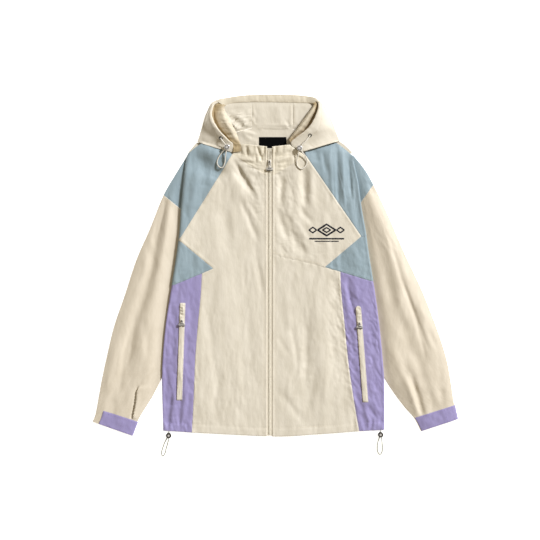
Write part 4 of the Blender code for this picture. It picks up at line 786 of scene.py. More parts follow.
def thread_cloth(name, dark, light, pitch, roughness=0.75, sheen=0.03, relief=0.5):
    """Ribbed tape, braid or embroidery thread, with ribs across it at a pitch in metres."""
    made, tree, shader = new_finish(name)
    ribs = add_node(tree, "ShaderNodeTexWave", bands_direction="Y", Scale=1.0, Distortion=1.2, Detail=1.0)
    tree.links.new(mapped(tree, "Object", (0.3 / pitch, 0.3 / pitch, 0.3 / pitch)), ribs.inputs["Vector"])
    colour = ramp_between(tree, ribs.outputs["Fac"], dark, light, 0.1, 0.9)
    tree.links.new(colour, shader.inputs["Base Color"])
    tree.links.new(bump_over(tree, ribs.outputs["Fac"], relief, pitch * 0.3), shader.inputs["Normal"])
    shader.inputs["Roughness"].default_value = roughness
    shader.inputs["Specular IOR Level"].default_value = 0.2 if sheen else 0.04
    shader.inputs["Sheen Weight"].default_value = sheen
    return made


def worn_metal(name, dark, light, roughness, metallic=1.0):
    """Plated die-cast metal with a brushed grain and small scuffs."""
    made, tree, shader = new_finish(name)
    scuffs = add_node(tree, "ShaderNodeTexNoise", Scale=1.0, Detail=6.0, Roughness=0.7)
    tree.links.new(mapped(tree, "Object", (900, 900, 900)), scuffs.inputs["Vector"])
    tree.links.new(ramp_between(tree, scuffs.outputs["Fac"], dark, light), shader.inputs["Base Color"])
    spread = add_node(tree, "ShaderNodeMapRange")
    spread.inputs["To Min"].default_value = roughness - 0.08
    spread.inputs["To Max"].default_value = roughness + 0.12
    tree.links.new(scuffs.outputs["Fac"], spread.inputs["Value"])
    tree.links.new(spread.outputs["Result"], shader.inputs["Roughness"])
    grain = add_node(tree, "ShaderNodeTexNoise", Scale=1.0, Detail=2.0)
    tree.links.new(mapped(tree, "Object", (4000, 500, 2500)), grain.inputs["Vector"])
    tree.links.new(bump_over(tree, grain.outputs["Fac"], 0.25, 0.0001), shader.inputs["Normal"])
    shader.inputs["Metallic"].default_value = metallic
    return made


cream_nylon = nylon("cream_nylon", (0.640, 0.594, 0.495), (0.722, 0.676, 0.580))
# the collar's cream, lighter and warmer than the body's same cloth: painted light, with warmer painted shade
# in its folds
collar_cream_painted_light = nylon("cream_nylon_collar_painted_light", (0.690, 0.634, 0.508), (0.775, 0.720, 0.600))
# the sleeves' cream, darker and warmer than the body's same cloth: painted shade
sleeve_cream_painted_shade = nylon("cream_nylon_sleeves_painted_shade", (0.612, 0.548, 0.440), (0.690, 0.624, 0.515))
# the cream of the top casing inside the hood, darker and more golden than the body's same cloth: painted
# shade
lining_cream_painted_shade = nylon("cream_nylon_inside_painted_shade", (0.625, 0.565, 0.445), (0.705, 0.645, 0.520), 0.62)
# the casing's cream, darker and more golden than the body's same cloth: painted shade, with deeper painted
# shade in the groove along the rim
casing_cream_painted_shade = nylon("cream_nylon_casing_painted_shade", (0.600, 0.535, 0.415), (0.680, 0.615, 0.490), 0.62,
                     (0.40, 0.31, 0.175))
blue_nylon = nylon("grey_blue_nylon", (0.254, 0.336, 0.383), (0.296, 0.384, 0.434))
lilac_nylon = nylon("lilac_nylon", (0.285, 0.252, 0.470), (0.335, 0.299, 0.540))
cream_tape = thread_cloth("cream_zip_tape", (0.64, 0.585, 0.47), (0.74, 0.69, 0.58), 0.0009)
cream_coil = thread_cloth("cream_zip_coil", (0.72, 0.67, 0.56), (0.84, 0.80, 0.69), 0.0016, 0.5)
cream_thread = thread_cloth("cream_thread", (0.62, 0.53, 0.39), (0.76, 0.68, 0.53), 0.0004)
blue_thread = thread_cloth("blue_thread", (0.25, 0.35, 0.42), (0.34, 0.45, 0.52), 0.0004)
lilac_thread = thread_cloth("lilac_thread", (0.29, 0.23, 0.50), (0.38, 0.31, 0.61), 0.0004)
navy_thread = thread_cloth("navy_embroidery_thread", (0.003, 0.004, 0.010), (0.012, 0.014, 0.026),
                           0.0005, 0.6)
# the hem cord, far darker than the hood's off-white cord of the same braid: painted shade
hem_cord_painted_shade = thread_cloth("shaded_hem_cord", (0.34, 0.35, 0.29), (0.40, 0.40, 0.34), 0.0009, relief=0.1)
cord_braid = thread_cloth("off_white_cord", (0.62, 0.58, 0.50), (0.86, 0.83, 0.76), 0.0009)
label_satin = thread_cloth("black_label_satin", (0.0015, 0.0015, 0.0018), (0.004, 0.004, 0.0045),
                           0.0005, 0.9, 0.0)
silver_metal = worn_metal("silver_metal", (0.64, 0.64, 0.66), (0.90, 0.90, 0.91), 0.22, 0.55)
cream_enamel = worn_metal("cream_enamelled_metal", (0.66, 0.62, 0.53), (0.80, 0.76, 0.67), 0.35, 0.0)
# silver darkened all over, laid on the eyelets, the locks, the bail and the pull: painted shade and painted
# dark reflection
silver_painted_shade = worn_metal("shaded_silver_metal", (0.07, 0.07, 0.07), (0.24, 0.24, 0.23), 0.3)


# ---------------------------------------------------------------- making pieces

def add_piece(name, points, faces, finish, uv=None, body="jacket", sharp=50):
    """A piece from points in millimetres, with its faces turned outwards."""
    points = np.asarray(points, float) * MM
    mesh = bpy.data.meshes.new(name)
    mesh.from_pydata(points.tolist(), [], faces)
    made = bmesh.new()
    made.from_mesh(mesh)
    if made.calc_volume(signed=True) < 0:
        bmesh.ops.reverse_faces(made, faces=made.faces)
    made.to_mesh(mesh)
    made.free()
    mesh.materials.append(finish)
    if uv is not None:
        layer = mesh.uv_layers.new(name="cloth")
        corners = np.zeros(len(mesh.loops), int)
        mesh.loops.foreach_get("vertex_index", corners)
        layer.data.foreach_set("uv", (np.asarray(uv, float)[corners] * MM).ravel())
    mesh.shade_smooth()
    mesh.set_sharp_from_angle(angle=math.radians(sharp))
    piece = bpy.data.objects.new(name, mesh)
    bpy.context.scene.collection.objects.link(piece)
    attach(piece, body)
    return piece


def shell(name, outer, inner, flat, finish, around=False):
    """A thin closed cloth shell between two grids of points, open or closed round its columns."""
    rows, columns = outer.shape[:2]
    count = rows * columns
    index = np.arange(count).reshape(rows, columns)
    ahead = np.roll(index, -1, axis=1) if around else index[:, 1:]
    here = index if around else index[:, :-1]
    quads = np.stack([here[:-1], ahead[:-1], ahead[1:], here[1:]], axis=-1).reshape(-1, 4)
    faces = quads.tolist() + (quads[:, ::-1] + count).tolist()
    if around:
        loops = [index[0], index[-1][::-1]]
    else:
        border = [index[i, j] for i, j in border_places(rows, columns)]
        loops = [np.array(border)]
    for loop in loops:
        following = np.roll(loop, -1)
        faces += np.stack([loop, loop + count, following + count, following], axis=1).tolist()
    points = np.concatenate([outer.reshape(-1, 3), inner.reshape(-1, 3)])
    uv = np.concatenate([flat.reshape(-1, 2)] * 2)
    return add_piece(name, points, faces, finish, uv)


def respaced(grid):
    """The grid with extra lines close to its border, where the seams are."""
    for axis in (0, 1):
        last = grid.shape[axis] - 1
        places = np.concatenate([[0, 0.3, 0.65, 1.1, 1.6], np.arange(2.3, last - 2.2, 1.0),
                                 [last - 1.6, last - 1.1, last - 0.65, last - 0.3, last]])
        low = np.clip(np.floor(places).astype(int), 0, last - 1)
        share = (places - low).reshape([-1 if axis == k else 1 for k in range(3)])
        grid = np.take(grid, low, axis=axis) * (1 - share) + np.take(grid, low + 1, axis=axis) * share
    return grid


def upright(count):
    return np.tile([0.0, 0.0, 1.0], (count, 1))


def flat_run(ring):
    """A chain of surface points whose stitches stand straight up."""
    return ring, upright(len(ring))


def metres(place):
    return [float(value) * MM for value in place]


CLOTH = 0.7            # thickness of the dressed cloth
panels = {}


def body_panel(name, node, grid, finish, kinds, seed):
    """A body panel's shell on its solid's form. Kinds name how its edges are made."""
    grid = respaced(grid)
    edges = {"bottom": grid[0], "top": grid[-1], "left": grid[:, 0], "right": grid[:, -1]}
    edges = {side: edges[side][::2] if len(edges[side]) % 2 else edges[side] for side in edges}

    def lift(x, y):
        total = body_relief(x, y)
        for number, (side, kind) in enumerate(kinds.items()):
            away, at = distance_to(edges[side], x, y)
            total = total + seam_relief(kind, away, at, seed + number)
        return total

    height = lift(grid[..., 0], grid[..., 1])
    points, normals = body_grid(grid)
    base = (WALL / 2 + height)[..., None] * normals
    piece = shell(name, points + base, points + base - normals * CLOTH, grid, finish)
    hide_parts(node)
    panels[name] = lift
    return piece


def on_cloth(lift, line, above=0.0):
    """Points and normals on the outside of the body's cloth along a line in its unrolled plane."""
    x, y = line[..., 0], line[..., 1]
    points, normals = body_grid(line)
    return points + (WALL / 2 + lift(x, y) + above)[..., None] * normals, normals


STITCH = 2.5           # length of a stitch, and the gap to the next
STITCH_GAP = 0.9
THREAD = 0.34          # radius of the sewing thread
THREAD_SINK = 0.12     # how far a stitch's ends go into the cloth
TOPSTITCH = 4.6        # from a seam to the stitches beside it
ZIP_ROWS = (2.2, 7.5)  # from a front's edge to the two rows of stitches along the zip


def bars(starts, ends, ups, radius, sink):
    """Vertices and faces of many small rounded bars, with their tips sunk in."""
    run = ends - starts
    run = run / np.linalg.norm(run, axis=1)[:, None]
    across = np.cross(ups, run)
    rings = [starts - ups * sink]
    for place in (0.22, 0.78):
        centre = starts + (ends - starts) * place + ups * radius * 0.5
        rings += [centre + across * radius, centre + ups * radius * 0.9, centre - across * radius,
                  centre - ups * radius * 0.9]
    rings.append(ends - ups * sink)
    faces = []
    for base in range(0, len(starts) * len(rings), len(rings)):
        for i in range(4):
            j = (i + 1) % 4
            faces.append([base, base + 1 + j, base + 1 + i])
            faces.append([base + 1 + i, base + 1 + j, base + 5 + j, base + 5 + i])
            faces.append([base + 5 + i, base + 5 + j, base + 9])
    return np.stack(rings, axis=1).reshape(-1, 3), faces


def stitch_run(points, normals):
    """Vertices and faces of stitches along a dense chain of surface points."""
    steps = np.linalg.norm(np.diff(points, axis=0), axis=1)
    along_chain = np.concatenate([[0], np.cumsum(steps)])
    count = int(along_chain[-1] // (STITCH + STITCH_GAP))
    if count < 1:
        return np.zeros((0, 3)), []
    middle = (np.arange(count) + 0.5) * along_chain[-1] / count

    def at(place, values):
        return np.stack([np.interp(place, along_chain, values[:, k]) for k in range(3)], axis=1)

    starts, ends = at(middle - STITCH / 2, points), at(middle + STITCH / 2, points)
    return bars(starts, ends, at(middle, normals), THREAD, THREAD_SINK)


def piece_of_parts(name, parts, finish, sharp=80):
    """One piece from several (vertices, faces)."""
    vertices, faces, total = [], [], 0
    for more, more_faces in parts:
        vertices.append(more)
        faces += [[corner + total for corner in face] for face in more_faces]
        total += len(more)
    return add_piece(name, np.concatenate(vertices), faces, finish, sharp=sharp)


def sewn(name, runs, finish):
    """One piece of joined stitches along several chains of (points, normals)."""
    return piece_of_parts(name, [stitch_run(points, normals) for points, normals in runs], finish)


def dense(corners, step=1.2):
    """A chain with points this close together along straight runs between corners."""
    corners = np.array(corners, float)
    counts = [max(1, int(np.hypot(*(b - a)) / step)) for a, b in zip(corners[:-1], corners[1:])]
    return polyline(corners, counts)


def beside(line, distance):
    """A chain moved sideways, to its left where the distance is positive."""
    ahead = np.gradient(line, axis=0)
    ahead /= np.linalg.norm(ahead, axis=1)[:, None]
    return line + np.stack([-ahead[:, 1], ahead[:, 0]], axis=1) * distance


# ---------------------------------------------------------------- body panels

FINER = 8              # how many rows of cloth stand for one of the solid's
ACROSS = 7             # and how many columns for one
cream_runs, blue_runs, lilac_runs = [], [], []


def stitch_along_zip(lift, side, low, high):
    for inward in ZIP_ROWS:
        x = ZIP_X + side * (ZIP_HALF + inward)
        cream_runs.append(on_cloth(lift, dense([(x, low), (x, high)])))


def dress_front_left():
    edge = ZIP_X - ZIP_HALF
    seam = side_seam(-1, SIDE_ROWS * FINER)
    outline = [LEFT_SIDE_TOP, LEFT_POINT, LEFT_ARMHOLE, LEFT_NECK]
    counts = [FINER, LOWER_ROWS * FINER, UPPER_ROWS * FINER]
    left = np.concatenate([seam, polyline(outline, counts)[1:]])
    levels = [ZIP_BOTTOM, LEFT_SIDE_TOP.y, LEFT_POINT.y, LEFT_ARMHOLE.y, NECK_AT_ZIP]
    right = polyline([(edge, y) for y in levels], [SIDE_ROWS * FINER, *counts])
    bottom = hem_run(seam[0, 0], edge, 9 * ACROSS)
    right[0] = bottom[-1]
    grid = coons(bottom, straight(left[-1], right[-1], 9 * ACROSS), left, right)
    body_panel("left_front", "front_left", grid, cream_nylon,
               {"bottom": "turned", "top": "soft", "left": "topstitched", "right": "turned"}, 40)
    lift = panels["left_front"]
    cream_runs.append(on_cloth(lift, beside(side_seam(-1, 300)[:290], -TOPSTITCH)))
    for line in zip(outline[:-1], outline[1:]):
        cream_runs.append(on_cloth(lift, beside(dense(line), -TOPSTITCH)))
    stitch_along_zip(lift, -1, ZIP_BOTTOM + 4, NECK_AT_ZIP - 3)


def dress_front_right():
    edge = ZIP_X + ZIP_HALF
    seam = side_seam(1, SIDE_ROWS * FINER)
    chest = polyline([(edge, CHEST_AT_ZIP), RIGHT_POINT, RIGHT_SIDE_TOP], [6 * ACROSS, 2 * ACROSS])
    left = straight((edge, ZIP_BOTTOM), (edge, CHEST_AT_ZIP), SIDE_ROWS * FINER)
    bottom = hem_run(edge, seam[0, 0], 8 * ACROSS)
    left[0] = bottom[0]
    grid = coons(bottom, chest, left, seam)
    body_panel("right_front_lower", "front_right_lower", grid, cream_nylon,
               {"bottom": "turned", "top": "puckered", "left": "turned", "right": "topstitched"}, 50)
    lower = panels["right_front_lower"]
    left = polyline([(edge, CHEST_AT_ZIP), (edge, RIGHT_ARMHOLE.y), (edge, NECK_AT_ZIP)],
                    [LOWER_ROWS * FINER, UPPER_ROWS * FINER])
    right = polyline([RIGHT_POINT, RIGHT_ARMHOLE, RIGHT_NECK], [LOWER_ROWS * FINER, UPPER_ROWS * FINER])
    columns = 7 * ACROSS
    grid = coons(straight(left[0], right[0], columns), straight(left[-1], right[-1], columns), left, right)
    body_panel("right_front_upper", "front_right_upper", grid, cream_nylon,
               {"bottom": "puckered", "top": "soft", "left": "turned", "right": "topstitched"}, 60)
    upper = panels["right_front_upper"]
    cream_runs.append(on_cloth(lower, beside(side_seam(1, 300)[:290], TOPSTITCH)))
    for line in ([RIGHT_POINT, RIGHT_ARMHOLE], [RIGHT_ARMHOLE, RIGHT_NECK],
                 [(edge, CHEST_AT_ZIP), RIGHT_POINT]):
        cream_runs.append(on_cloth(upper, beside(dense(line), TOPSTITCH)))
    stitch_along_zip(lower, 1, ZIP_BOTTOM + 4, CHEST_AT_ZIP - 2)
    stitch_along_zip(upper, 1, CHEST_AT_ZIP + 2, NECK_AT_ZIP - 3)


COLLAR_ROLL = 1.7      # radius over which the collar's top edge turns in


def dress_collars():
    for name, node, side, neck, top_end in (("left_collar", "collar_left", -1, LEFT_NECK, Corner(-88, 286)),
                                            ("right_collar", "collar_right", 1, RIGHT_NECK, Corner(36, 283))):
        edge = ZIP_X + side * ZIP_HALF
        seam = straight((edge, NECK_AT_ZIP), neck, 44)
        top = straight((edge, ZIP_TOP + 4.5), top_end, 44)
        inner = straight(seam[0], top[0], 36)
        outer = straight(seam[-1], top[-1], 36)
        grid = respaced(sided(side, seam, top, inner, outer))
        uprights = ("joined", "turned") if side < 0 else ("turned", "joined")
        kinds = {"bottom": "soft", "left": uprights[0], "right": uprights[1]}
        edges = {"bottom": grid[0], "left": grid[:, 0], "right": grid[:, -1]}

        def lift(x, y, edges=edges, kinds=kinds, crest=grid[-1]):
            total = body_relief(x, y)
            for number, (place, kind) in enumerate(kinds.items()):
                away, at = distance_to(edges[place], x, y)
                total = total + seam_relief(kind, away, at, 70 + number)
            away, at = distance_to(crest, x, y)
            gathers = 0.55 * bell(away, 15) * lattice_noise(at, y, 4.2, 26, 81)
            casing = 0.6 * bell(away - 10, 9) - 0.3 * bell(away - 22, 2.0)
            return total + gathers + casing

        height = lift(grid[..., 0], grid[..., 1])
        points, normals = body_grid(grid)
        outer_skin = points + (WALL / 2 + height)[..., None] * normals
        crest, up = outer_skin[-1], normals[-1]
        ahead = np.array([0.0, 1.0, 0.0]) - up * up[:, 1:2]
        ahead /= np.linalg.norm(ahead, axis=1)[:, None]
        turned = [(math.cos(a), math.sin(a)) for a in np.linspace(0, math.pi, 7)[1:]]
        rolled = [crest + ahead * COLLAR_ROLL * s - up * COLLAR_ROLL * (1 - c) for c, s in turned]
        rolled += [rolled[-1] - ahead * back for back in (4.0, 9.0)]
        full = np.concatenate([outer_skin, np.array(rolled)])
        down = np.concatenate([normals, [up * c + ahead * s for c, s in turned], [-up, -up]])
        flat = np.concatenate([grid, [grid[-1] + (0, 1 + k) for k in range(len(rolled))]])
        piece = shell(name, full, full - down * CLOTH * 0.8, flat, collar_cream_painted_light)
        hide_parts(node)
        for below in (3.0, 22.0):
            line = beside(dense([grid[-1, 0], grid[-1, -1]]), -below)
            cream_runs.append(on_cloth(lift, line[6:-6]))
        stitch_along_zip(lift, side, NECK_AT_ZIP + 3, ZIP_TOP - 1)


def dress_yoke(side, side_name):
    left = side < 0
    armhole = LEFT_ARMHOLE if left else RIGHT_ARMHOLE
    neck = LEFT_NECK if left else RIGHT_NECK
    shoulder = Corner(-203, 265.5) if left else Corner(181.5, 262)
    rows = UPPER_ROWS * 11
    diagonal = straight(armhole, neck, rows)
    y = np.linspace(armhole.y + (1.0 if left else 0.0), 250, rows - 10)
    armhole_line = np.stack([unrolled_x(side, y, 1.0), y], axis=1)
    outer = np.concatenate([armhole_line, straight(armhole_line[-1], shoulder, 11)[1:]])
    columns = (5 if left else 8) * 7
    bottom = resampled([diagonal[0], outer[0]], columns)
    under_hood = [hood_outer_point(side, 0, share)[:2] - (0, 0.55) for share in (0.93, 0.75, 0.5, 0.3, 0.12)]
    tip = under_hood[-1]
    shoulder_seam = ((tip[0] + shoulder.x) / 2, (tip[1] + shoulder.y) / 2 + 2.5)
    top = resampled([neck, *under_hood, shoulder_seam, shoulder], columns)
    body_panel(side_name + "_yoke", "shoulder_yoke_" + side_name, sided(side, bottom, top, diagonal, outer),
               blue_nylon, {"top": "joined", "left": "joined", "right": "joined"}, 90 if left else 95)


def edge_beneath(side, y):
    """A side piece's edge under the body, in the unrolled plane."""
    return np.stack([unrolled_x(side, y, UNDER_REACH - ROLL), y], axis=1)


def dress_wedge(side, side_name):
    left = side < 0
    armhole, point, seam_top = ((LEFT_ARMHOLE, LEFT_POINT, LEFT_SIDE_TOP) if left
                                else (RIGHT_ARMHOLE, RIGHT_POINT, RIGHT_SIDE_TOP))
    fold_bottom = PANEL_TOP_AT_FOLD[side]
    rows = LOWER_ROWS * 9
    outer = edge_beneath(side, np.linspace(fold_bottom, armhole.y, rows + 1))
    tip_low, tip_high = (np.array(point) + (np.array(end) - np.array(point)) * 0.01
                         for end in (seam_top, armhole))
    inner = straight(tip_low, tip_high, rows)
    fold = fold_x(side, fold_bottom)
    low = polyline([tip_low, seam_top, (float(fold) - side * ROLL, fold_bottom), outer[0]],
                   [8, (LOWER_ROWS - 1) * 8, 30])
    high = polyline([tip_high, armhole, outer[-1]], [LOWER_ROWS * 8, 30])
    name = side_name + "_side_wedge"
    body_panel(name, "side_wedge_" + side_name, sided(side, low, high, inner, outer), blue_nylon,
               {"bottom": "topstitched", "top": "joined"}, 100 if left else 105)
    line = dense([seam_top, (float(fold) - side * ROLL * 0.5, fold_bottom)])
    blue_runs.append(on_cloth(panels[name], beside(line, side * TOPSTITCH)))


def dress_side_panel(side, side_name):
    left = side < 0
    rows = SIDE_ROWS * 9
    seam = side_seam(side, rows)
    fold_top = PANEL_TOP_AT_FOLD[side]
    start_y = float(hem_y(fold_x(side, HEM[0].y)))
    outer = edge_beneath(side, np.linspace(start_y, fold_top, rows + 1))
    bottom, top = (polyline([seam[end], (float(fold_x(side, y)) - side * ROLL, y), outer[end]], [24, 28])
                   for end, y in ((0, start_y), (-1, fold_top)))
    kinds = {"bottom": "turned", "top": "joined", "right" if left else "left": "joined"}
    body_panel(side_name + "_side_panel", "side_panel_" + side_name, sided(side, bottom, top, seam, outer),
               lilac_nylon, kinds, 110 if left else 115)


def hem_stitching():
    """The line of stitches along the hem's casing, in each panel's own thread."""
    spans = [("left_side_panel", -258, -197.5, lilac_runs), ("left_front", -195.5, -21.5, cream_runs),
             ("right_front_lower", -4.5, 198, cream_runs), ("right_side_panel", 200.5, 252, lilac_runs)]
    for name, start, end, runs in spans:
        x = np.linspace(start, end, int((end - start) / 1.2))
        line = np.stack([x, hem_y(x) + HEM_DEPTH], axis=1)
        runs.append(on_cloth(panels[name], line))


def dress_back():
    """The back's cloth, flat on the surface, with its soft bunching where it shows inside the neck."""
    middle_x = -12.0
    by_panel = UNDER_REACH + 0.2
    by_sleeve = TUCK + 2.4

    def between(y, left_reach, right_reach):
        left = float(fold_x(-1.0, y)) + left_reach
        right = float(fold_x(1.0, y)) - right_reach
        return [(left, y), ((left + right) / 2, y), (right, y)]

    rows = [[(EDGES[-1].left + by_panel, -391), (middle_x, -400), (EDGES[-1].right - by_panel, -389.5)]]
    rows += [between(y, by_panel, by_panel) for y in (-310, -200, -90, 10, LEFT_ARMHOLE.y + 0.3)]
    rows += [between(y, by_sleeve, by_panel) for y in (LEFT_ARMHOLE.y + 2, RIGHT_ARMHOLE.y + 0.8)]
    rows += [between(y, by_sleeve, by_sleeve) for y in (RIGHT_ARMHOLE.y + 2.5, 150, 215, 263.2)]
    rows.append([(-206.5, 266.0), (middle_x, 270), (183.4, 266.0)])
    rows.append([(-199, 275.5), (middle_x, 280), (175.2, 275.5)])
    chains = [polyline(row, [60, 60]) for row in rows]
    top = polyline(BACK_NECK, [10, 20, 20, 30, 20, 10, 10])
    table = np.array(chains + [top])
    steps = [14, 14, 14, 12, 8, 1, 3, 1, 12, 12, 12, 2, 5, 22]
    grid = np.concatenate([table[i] + (table[i + 1] - table[i]) * (np.arange(n) / n)[:, None, None]
                           for i, n in enumerate(steps)] + [table[-1:]])
    x, y = grid[..., 0], grid[..., 1]
    seen = soft_step((y - 262) / 20) * soft_step((x + 130) / 30) * soft_step((110 - x) / 30)
    below_label = LABEL_TOP - LABEL_HEIGHT - 2 - y
    beside_label = np.abs(x - LABEL_X) - LABEL_WIDTH / 2 + 2.5
    off_label = soft_step(beside_label / 10 + soft_step((y - LABEL_TOP) / 8) + soft_step(below_label / 8))
    bump = np.maximum(fold_relief(INSIDE_CREASES, x, y) + 0.5 * crinkle(x, y, 19) + 0.3, 0) * seen * off_label
    top_side = np.concatenate([grid, (WALL + bump)[..., None]], axis=-1)
    bottom_side = np.concatenate([grid, (WALL - CLOTH + bump * 0.9)[..., None]], axis=-1)
    bottom_side[..., 2] = np.maximum(bottom_side[..., 2], 0.1)
    piece = shell("back_cloth", top_side, bottom_side, grid, cream_nylon)
    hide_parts("back_panel")


# ---------------------------------------------------------------- sleeves

# Points round a sleeve: on each pressed edge, over the top and underneath
SLEEVE_ARC = 6
SLEEVE_TOP = 46
SLEEVE_BOTTOM = 16
STATION_AT_CAP = 62    # length of a station beside the cap seam
STATION_AT_CUFF = 45   # length of a station beside the cuff


def filled_in(stations, side):
    """The stations with each inner edge that lies under the body worked out from the side fold."""
    result = []
    for row in stations:
        inner_x = row.inner_x
        if inner_x is UNDER_BODY:
            inner_x = float(fold_x(side, row.inner_y)) - side * TUCK
        result.append(row._replace(inner_x=inner_x))
    return result


SLEEVES = {-1: filled_in(LEFT_SLEEVE, -1.0), 1: filled_in(RIGHT_SLEEVE, 1.0)}


def swelling(from_edge):
    """How full a sleeve is at a distance from its pressed edge."""
    return 1 - (1 - np.clip(from_edge / 30, 0, 1)) ** 2


def sleeve_ring(side, station, depth, relief):
    """The closed section of a sleeve at a station, with its surface moved in by a depth."""
    rows = SLEEVES[side]
    outer = np.array([along(rows, "outer_x", station), along(rows, "outer_y", station)])
    inner = np.array([along(rows, "inner_x", station), along(rows, "inner_y", station)])
    loft = float(along(rows, "loft", station))
    width = np.linalg.norm(outer - inner)
    direction = (outer - inner) / width
    radius = SLEEVE_EDGE
    turn = np.linspace(-math.pi / 2, math.pi / 2, SLEEVE_ARC + 1)
    round_edge = radius - depth
    inner_arc = [(radius - round_edge * math.cos(a), radius + round_edge * math.sin(a)) for a in turn]
    outer_arc = [(width - radius + round_edge * math.cos(a), radius + round_edge * math.sin(a))
                 for a in turn[::-1]]
    across = np.linspace(radius, width - radius, SLEEVE_TOP + 2)[1:-1]
    x = inner[0] + direction[0] * across
    y = inner[1] + direction[1] * across
    clear_of_body = side * (x - fold_x(side * np.ones_like(y), y))
    shape = swelling(width - across - radius) * swelling(across - radius)
    if side > 0:
        shape = shape * swelling(clear_of_body)
    else:
        shape = shape * soft_step((clear_of_body - 8) / 26) * (1 - 0.42 * across / width)
    fold = np.zeros_like(across)
    for row in SLEEVE_FOLDS[side]:
        reach = (station - row.start) / (row.end - row.start)
        ends = float(soft_step(reach / 0.3) * soft_step((1 - reach) / 0.3))
        from_line = across - width * row.across
        fold = fold + row.height * ends * bell(from_line, row.width)
    height = 2 * radius + shape * (loft - 2 * radius + fold * min(1.0, (loft - 3) / 5))
    fade = np.clip(shape * 2.2, 0, 1) * soft_step((clear_of_body - 4) / 10)
    height = np.maximum(height + relief(x, y) * fade, 2 * radius + 0.1)
    top = list(zip(across, height - depth))
    bottom = [(a, depth) for a in np.linspace(width - radius, radius, SLEEVE_BOTTOM + 2)[1:-1]]
    section = inner_arc + top + outer_arc + bottom
    return np.array([(inner[0] + direction[0] * a, inner[1] + direction[1] * a, z) for a, z in section])


def bent_relief(creases, x, y):
    total = np.zeros(np.broadcast(x, y).shape)
    for crease in creases:
        line = np.array(crease.line, float)
        away, at = distance_to(line, x, y)
        length = np.hypot(*np.diff(line, axis=0).T).sum()
        ends = soft_step(at / length / 0.2) * soft_step((1 - at / length) / 0.2)
        total = total + crease.height * ends * bell(away, crease.width)
    return total


def slit_lap(x, y):
    line = np.array(LEFT_SLIT, float)
    line_x = np.interp(-y, -line[:, 1], line[:, 0])
    beyond = x - line_x
    lap = 4.6 * np.exp(-np.maximum(beyond, 0) / 12) * soft_step((beyond + 1.2) / 1.6)
    hollow = -3.0 * bell(beyond + 2.2, 2.4)
    ends = soft_step((line[0, 1] + 4 - y) / 14) * soft_step((y + 364) / 6)
    return (lap + hollow) * ends * (x < 0)


def sleeve_relief(x, y):
    folds = 1.5 * fold_relief(SLEEVE_CREASES, x, y) + 1.5 * bent_relief(BENT_CREASES, x, y)
    return folds + 0.9 * crinkle(x + 0.33 * np.abs(y), y, 23) + slit_lap(x, y)


def ring_cut(rings):
    """Places on the sleeve's flat pattern, round it and along it, for each ring point."""
    around = np.linalg.norm(np.diff(rings, axis=1, append=rings[:, :1]), axis=2)
    round_it = np.concatenate([np.zeros((len(rings), 1)), np.cumsum(around, axis=1)[:, :-1]], axis=1)
    middle = rings.mean(axis=1)
    down = np.concatenate([[0], np.cumsum(np.linalg.norm(np.diff(middle, axis=0), axis=1))])
    return np.stack([round_it, np.repeat(down[:, None], rings.shape[1], axis=1)], axis=-1)


def dress_sleeve(side, side_name, runs):
    last = len(SLEEVES[side]) - 1
    gap = 0.002
    pieces = (("sleeve_cap_", np.linspace(0, CAP_STATION - gap, 40), blue_nylon, 0.0),
              ("sleeve_", np.linspace(CAP_STATION + gap, last, 170), sleeve_cream_painted_shade, 0.5))
    for name, stations, finish, raised in pieces:
        from_seam = np.abs(stations - CAP_STATION) * STATION_AT_CAP
        from_end = (last - stations) * STATION_AT_CUFF
        seam = -0.5 * bell(from_seam, 1.6) + raised * (1 - soft_step((from_seam - 5) / 2))
        casing = 0.4 * (1 - soft_step((from_end - 18) / 3))
        outer = np.array([sleeve_ring(side, station, 0.0, lambda x, y, lift=lift: sleeve_relief(x, y) + lift)
                          for station, lift in zip(stations, seam + casing)])
        inner = np.array([sleeve_ring(side, station, CLOTH, sleeve_relief) for station in stations])
        flat = ring_cut(outer)
        piece = shell("dressed_" + name + side_name, outer, inner, flat, finish, around=True)
        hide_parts(name + side_name)
        top = slice(SLEEVE_ARC + 5, SLEEVE_ARC + SLEEVE_TOP)
        if name == "sleeve_":
            rings = [np.searchsorted(from_seam, offset) for offset in (3, 5)]
            rings.append(np.argmin(np.abs(from_end - HEM_DEPTH)))
            runs += [flat_run(outer[ring, top]) for ring in rings]


TAB_LIFT = 0.6         # gap between a cuff's tab and its sleeve


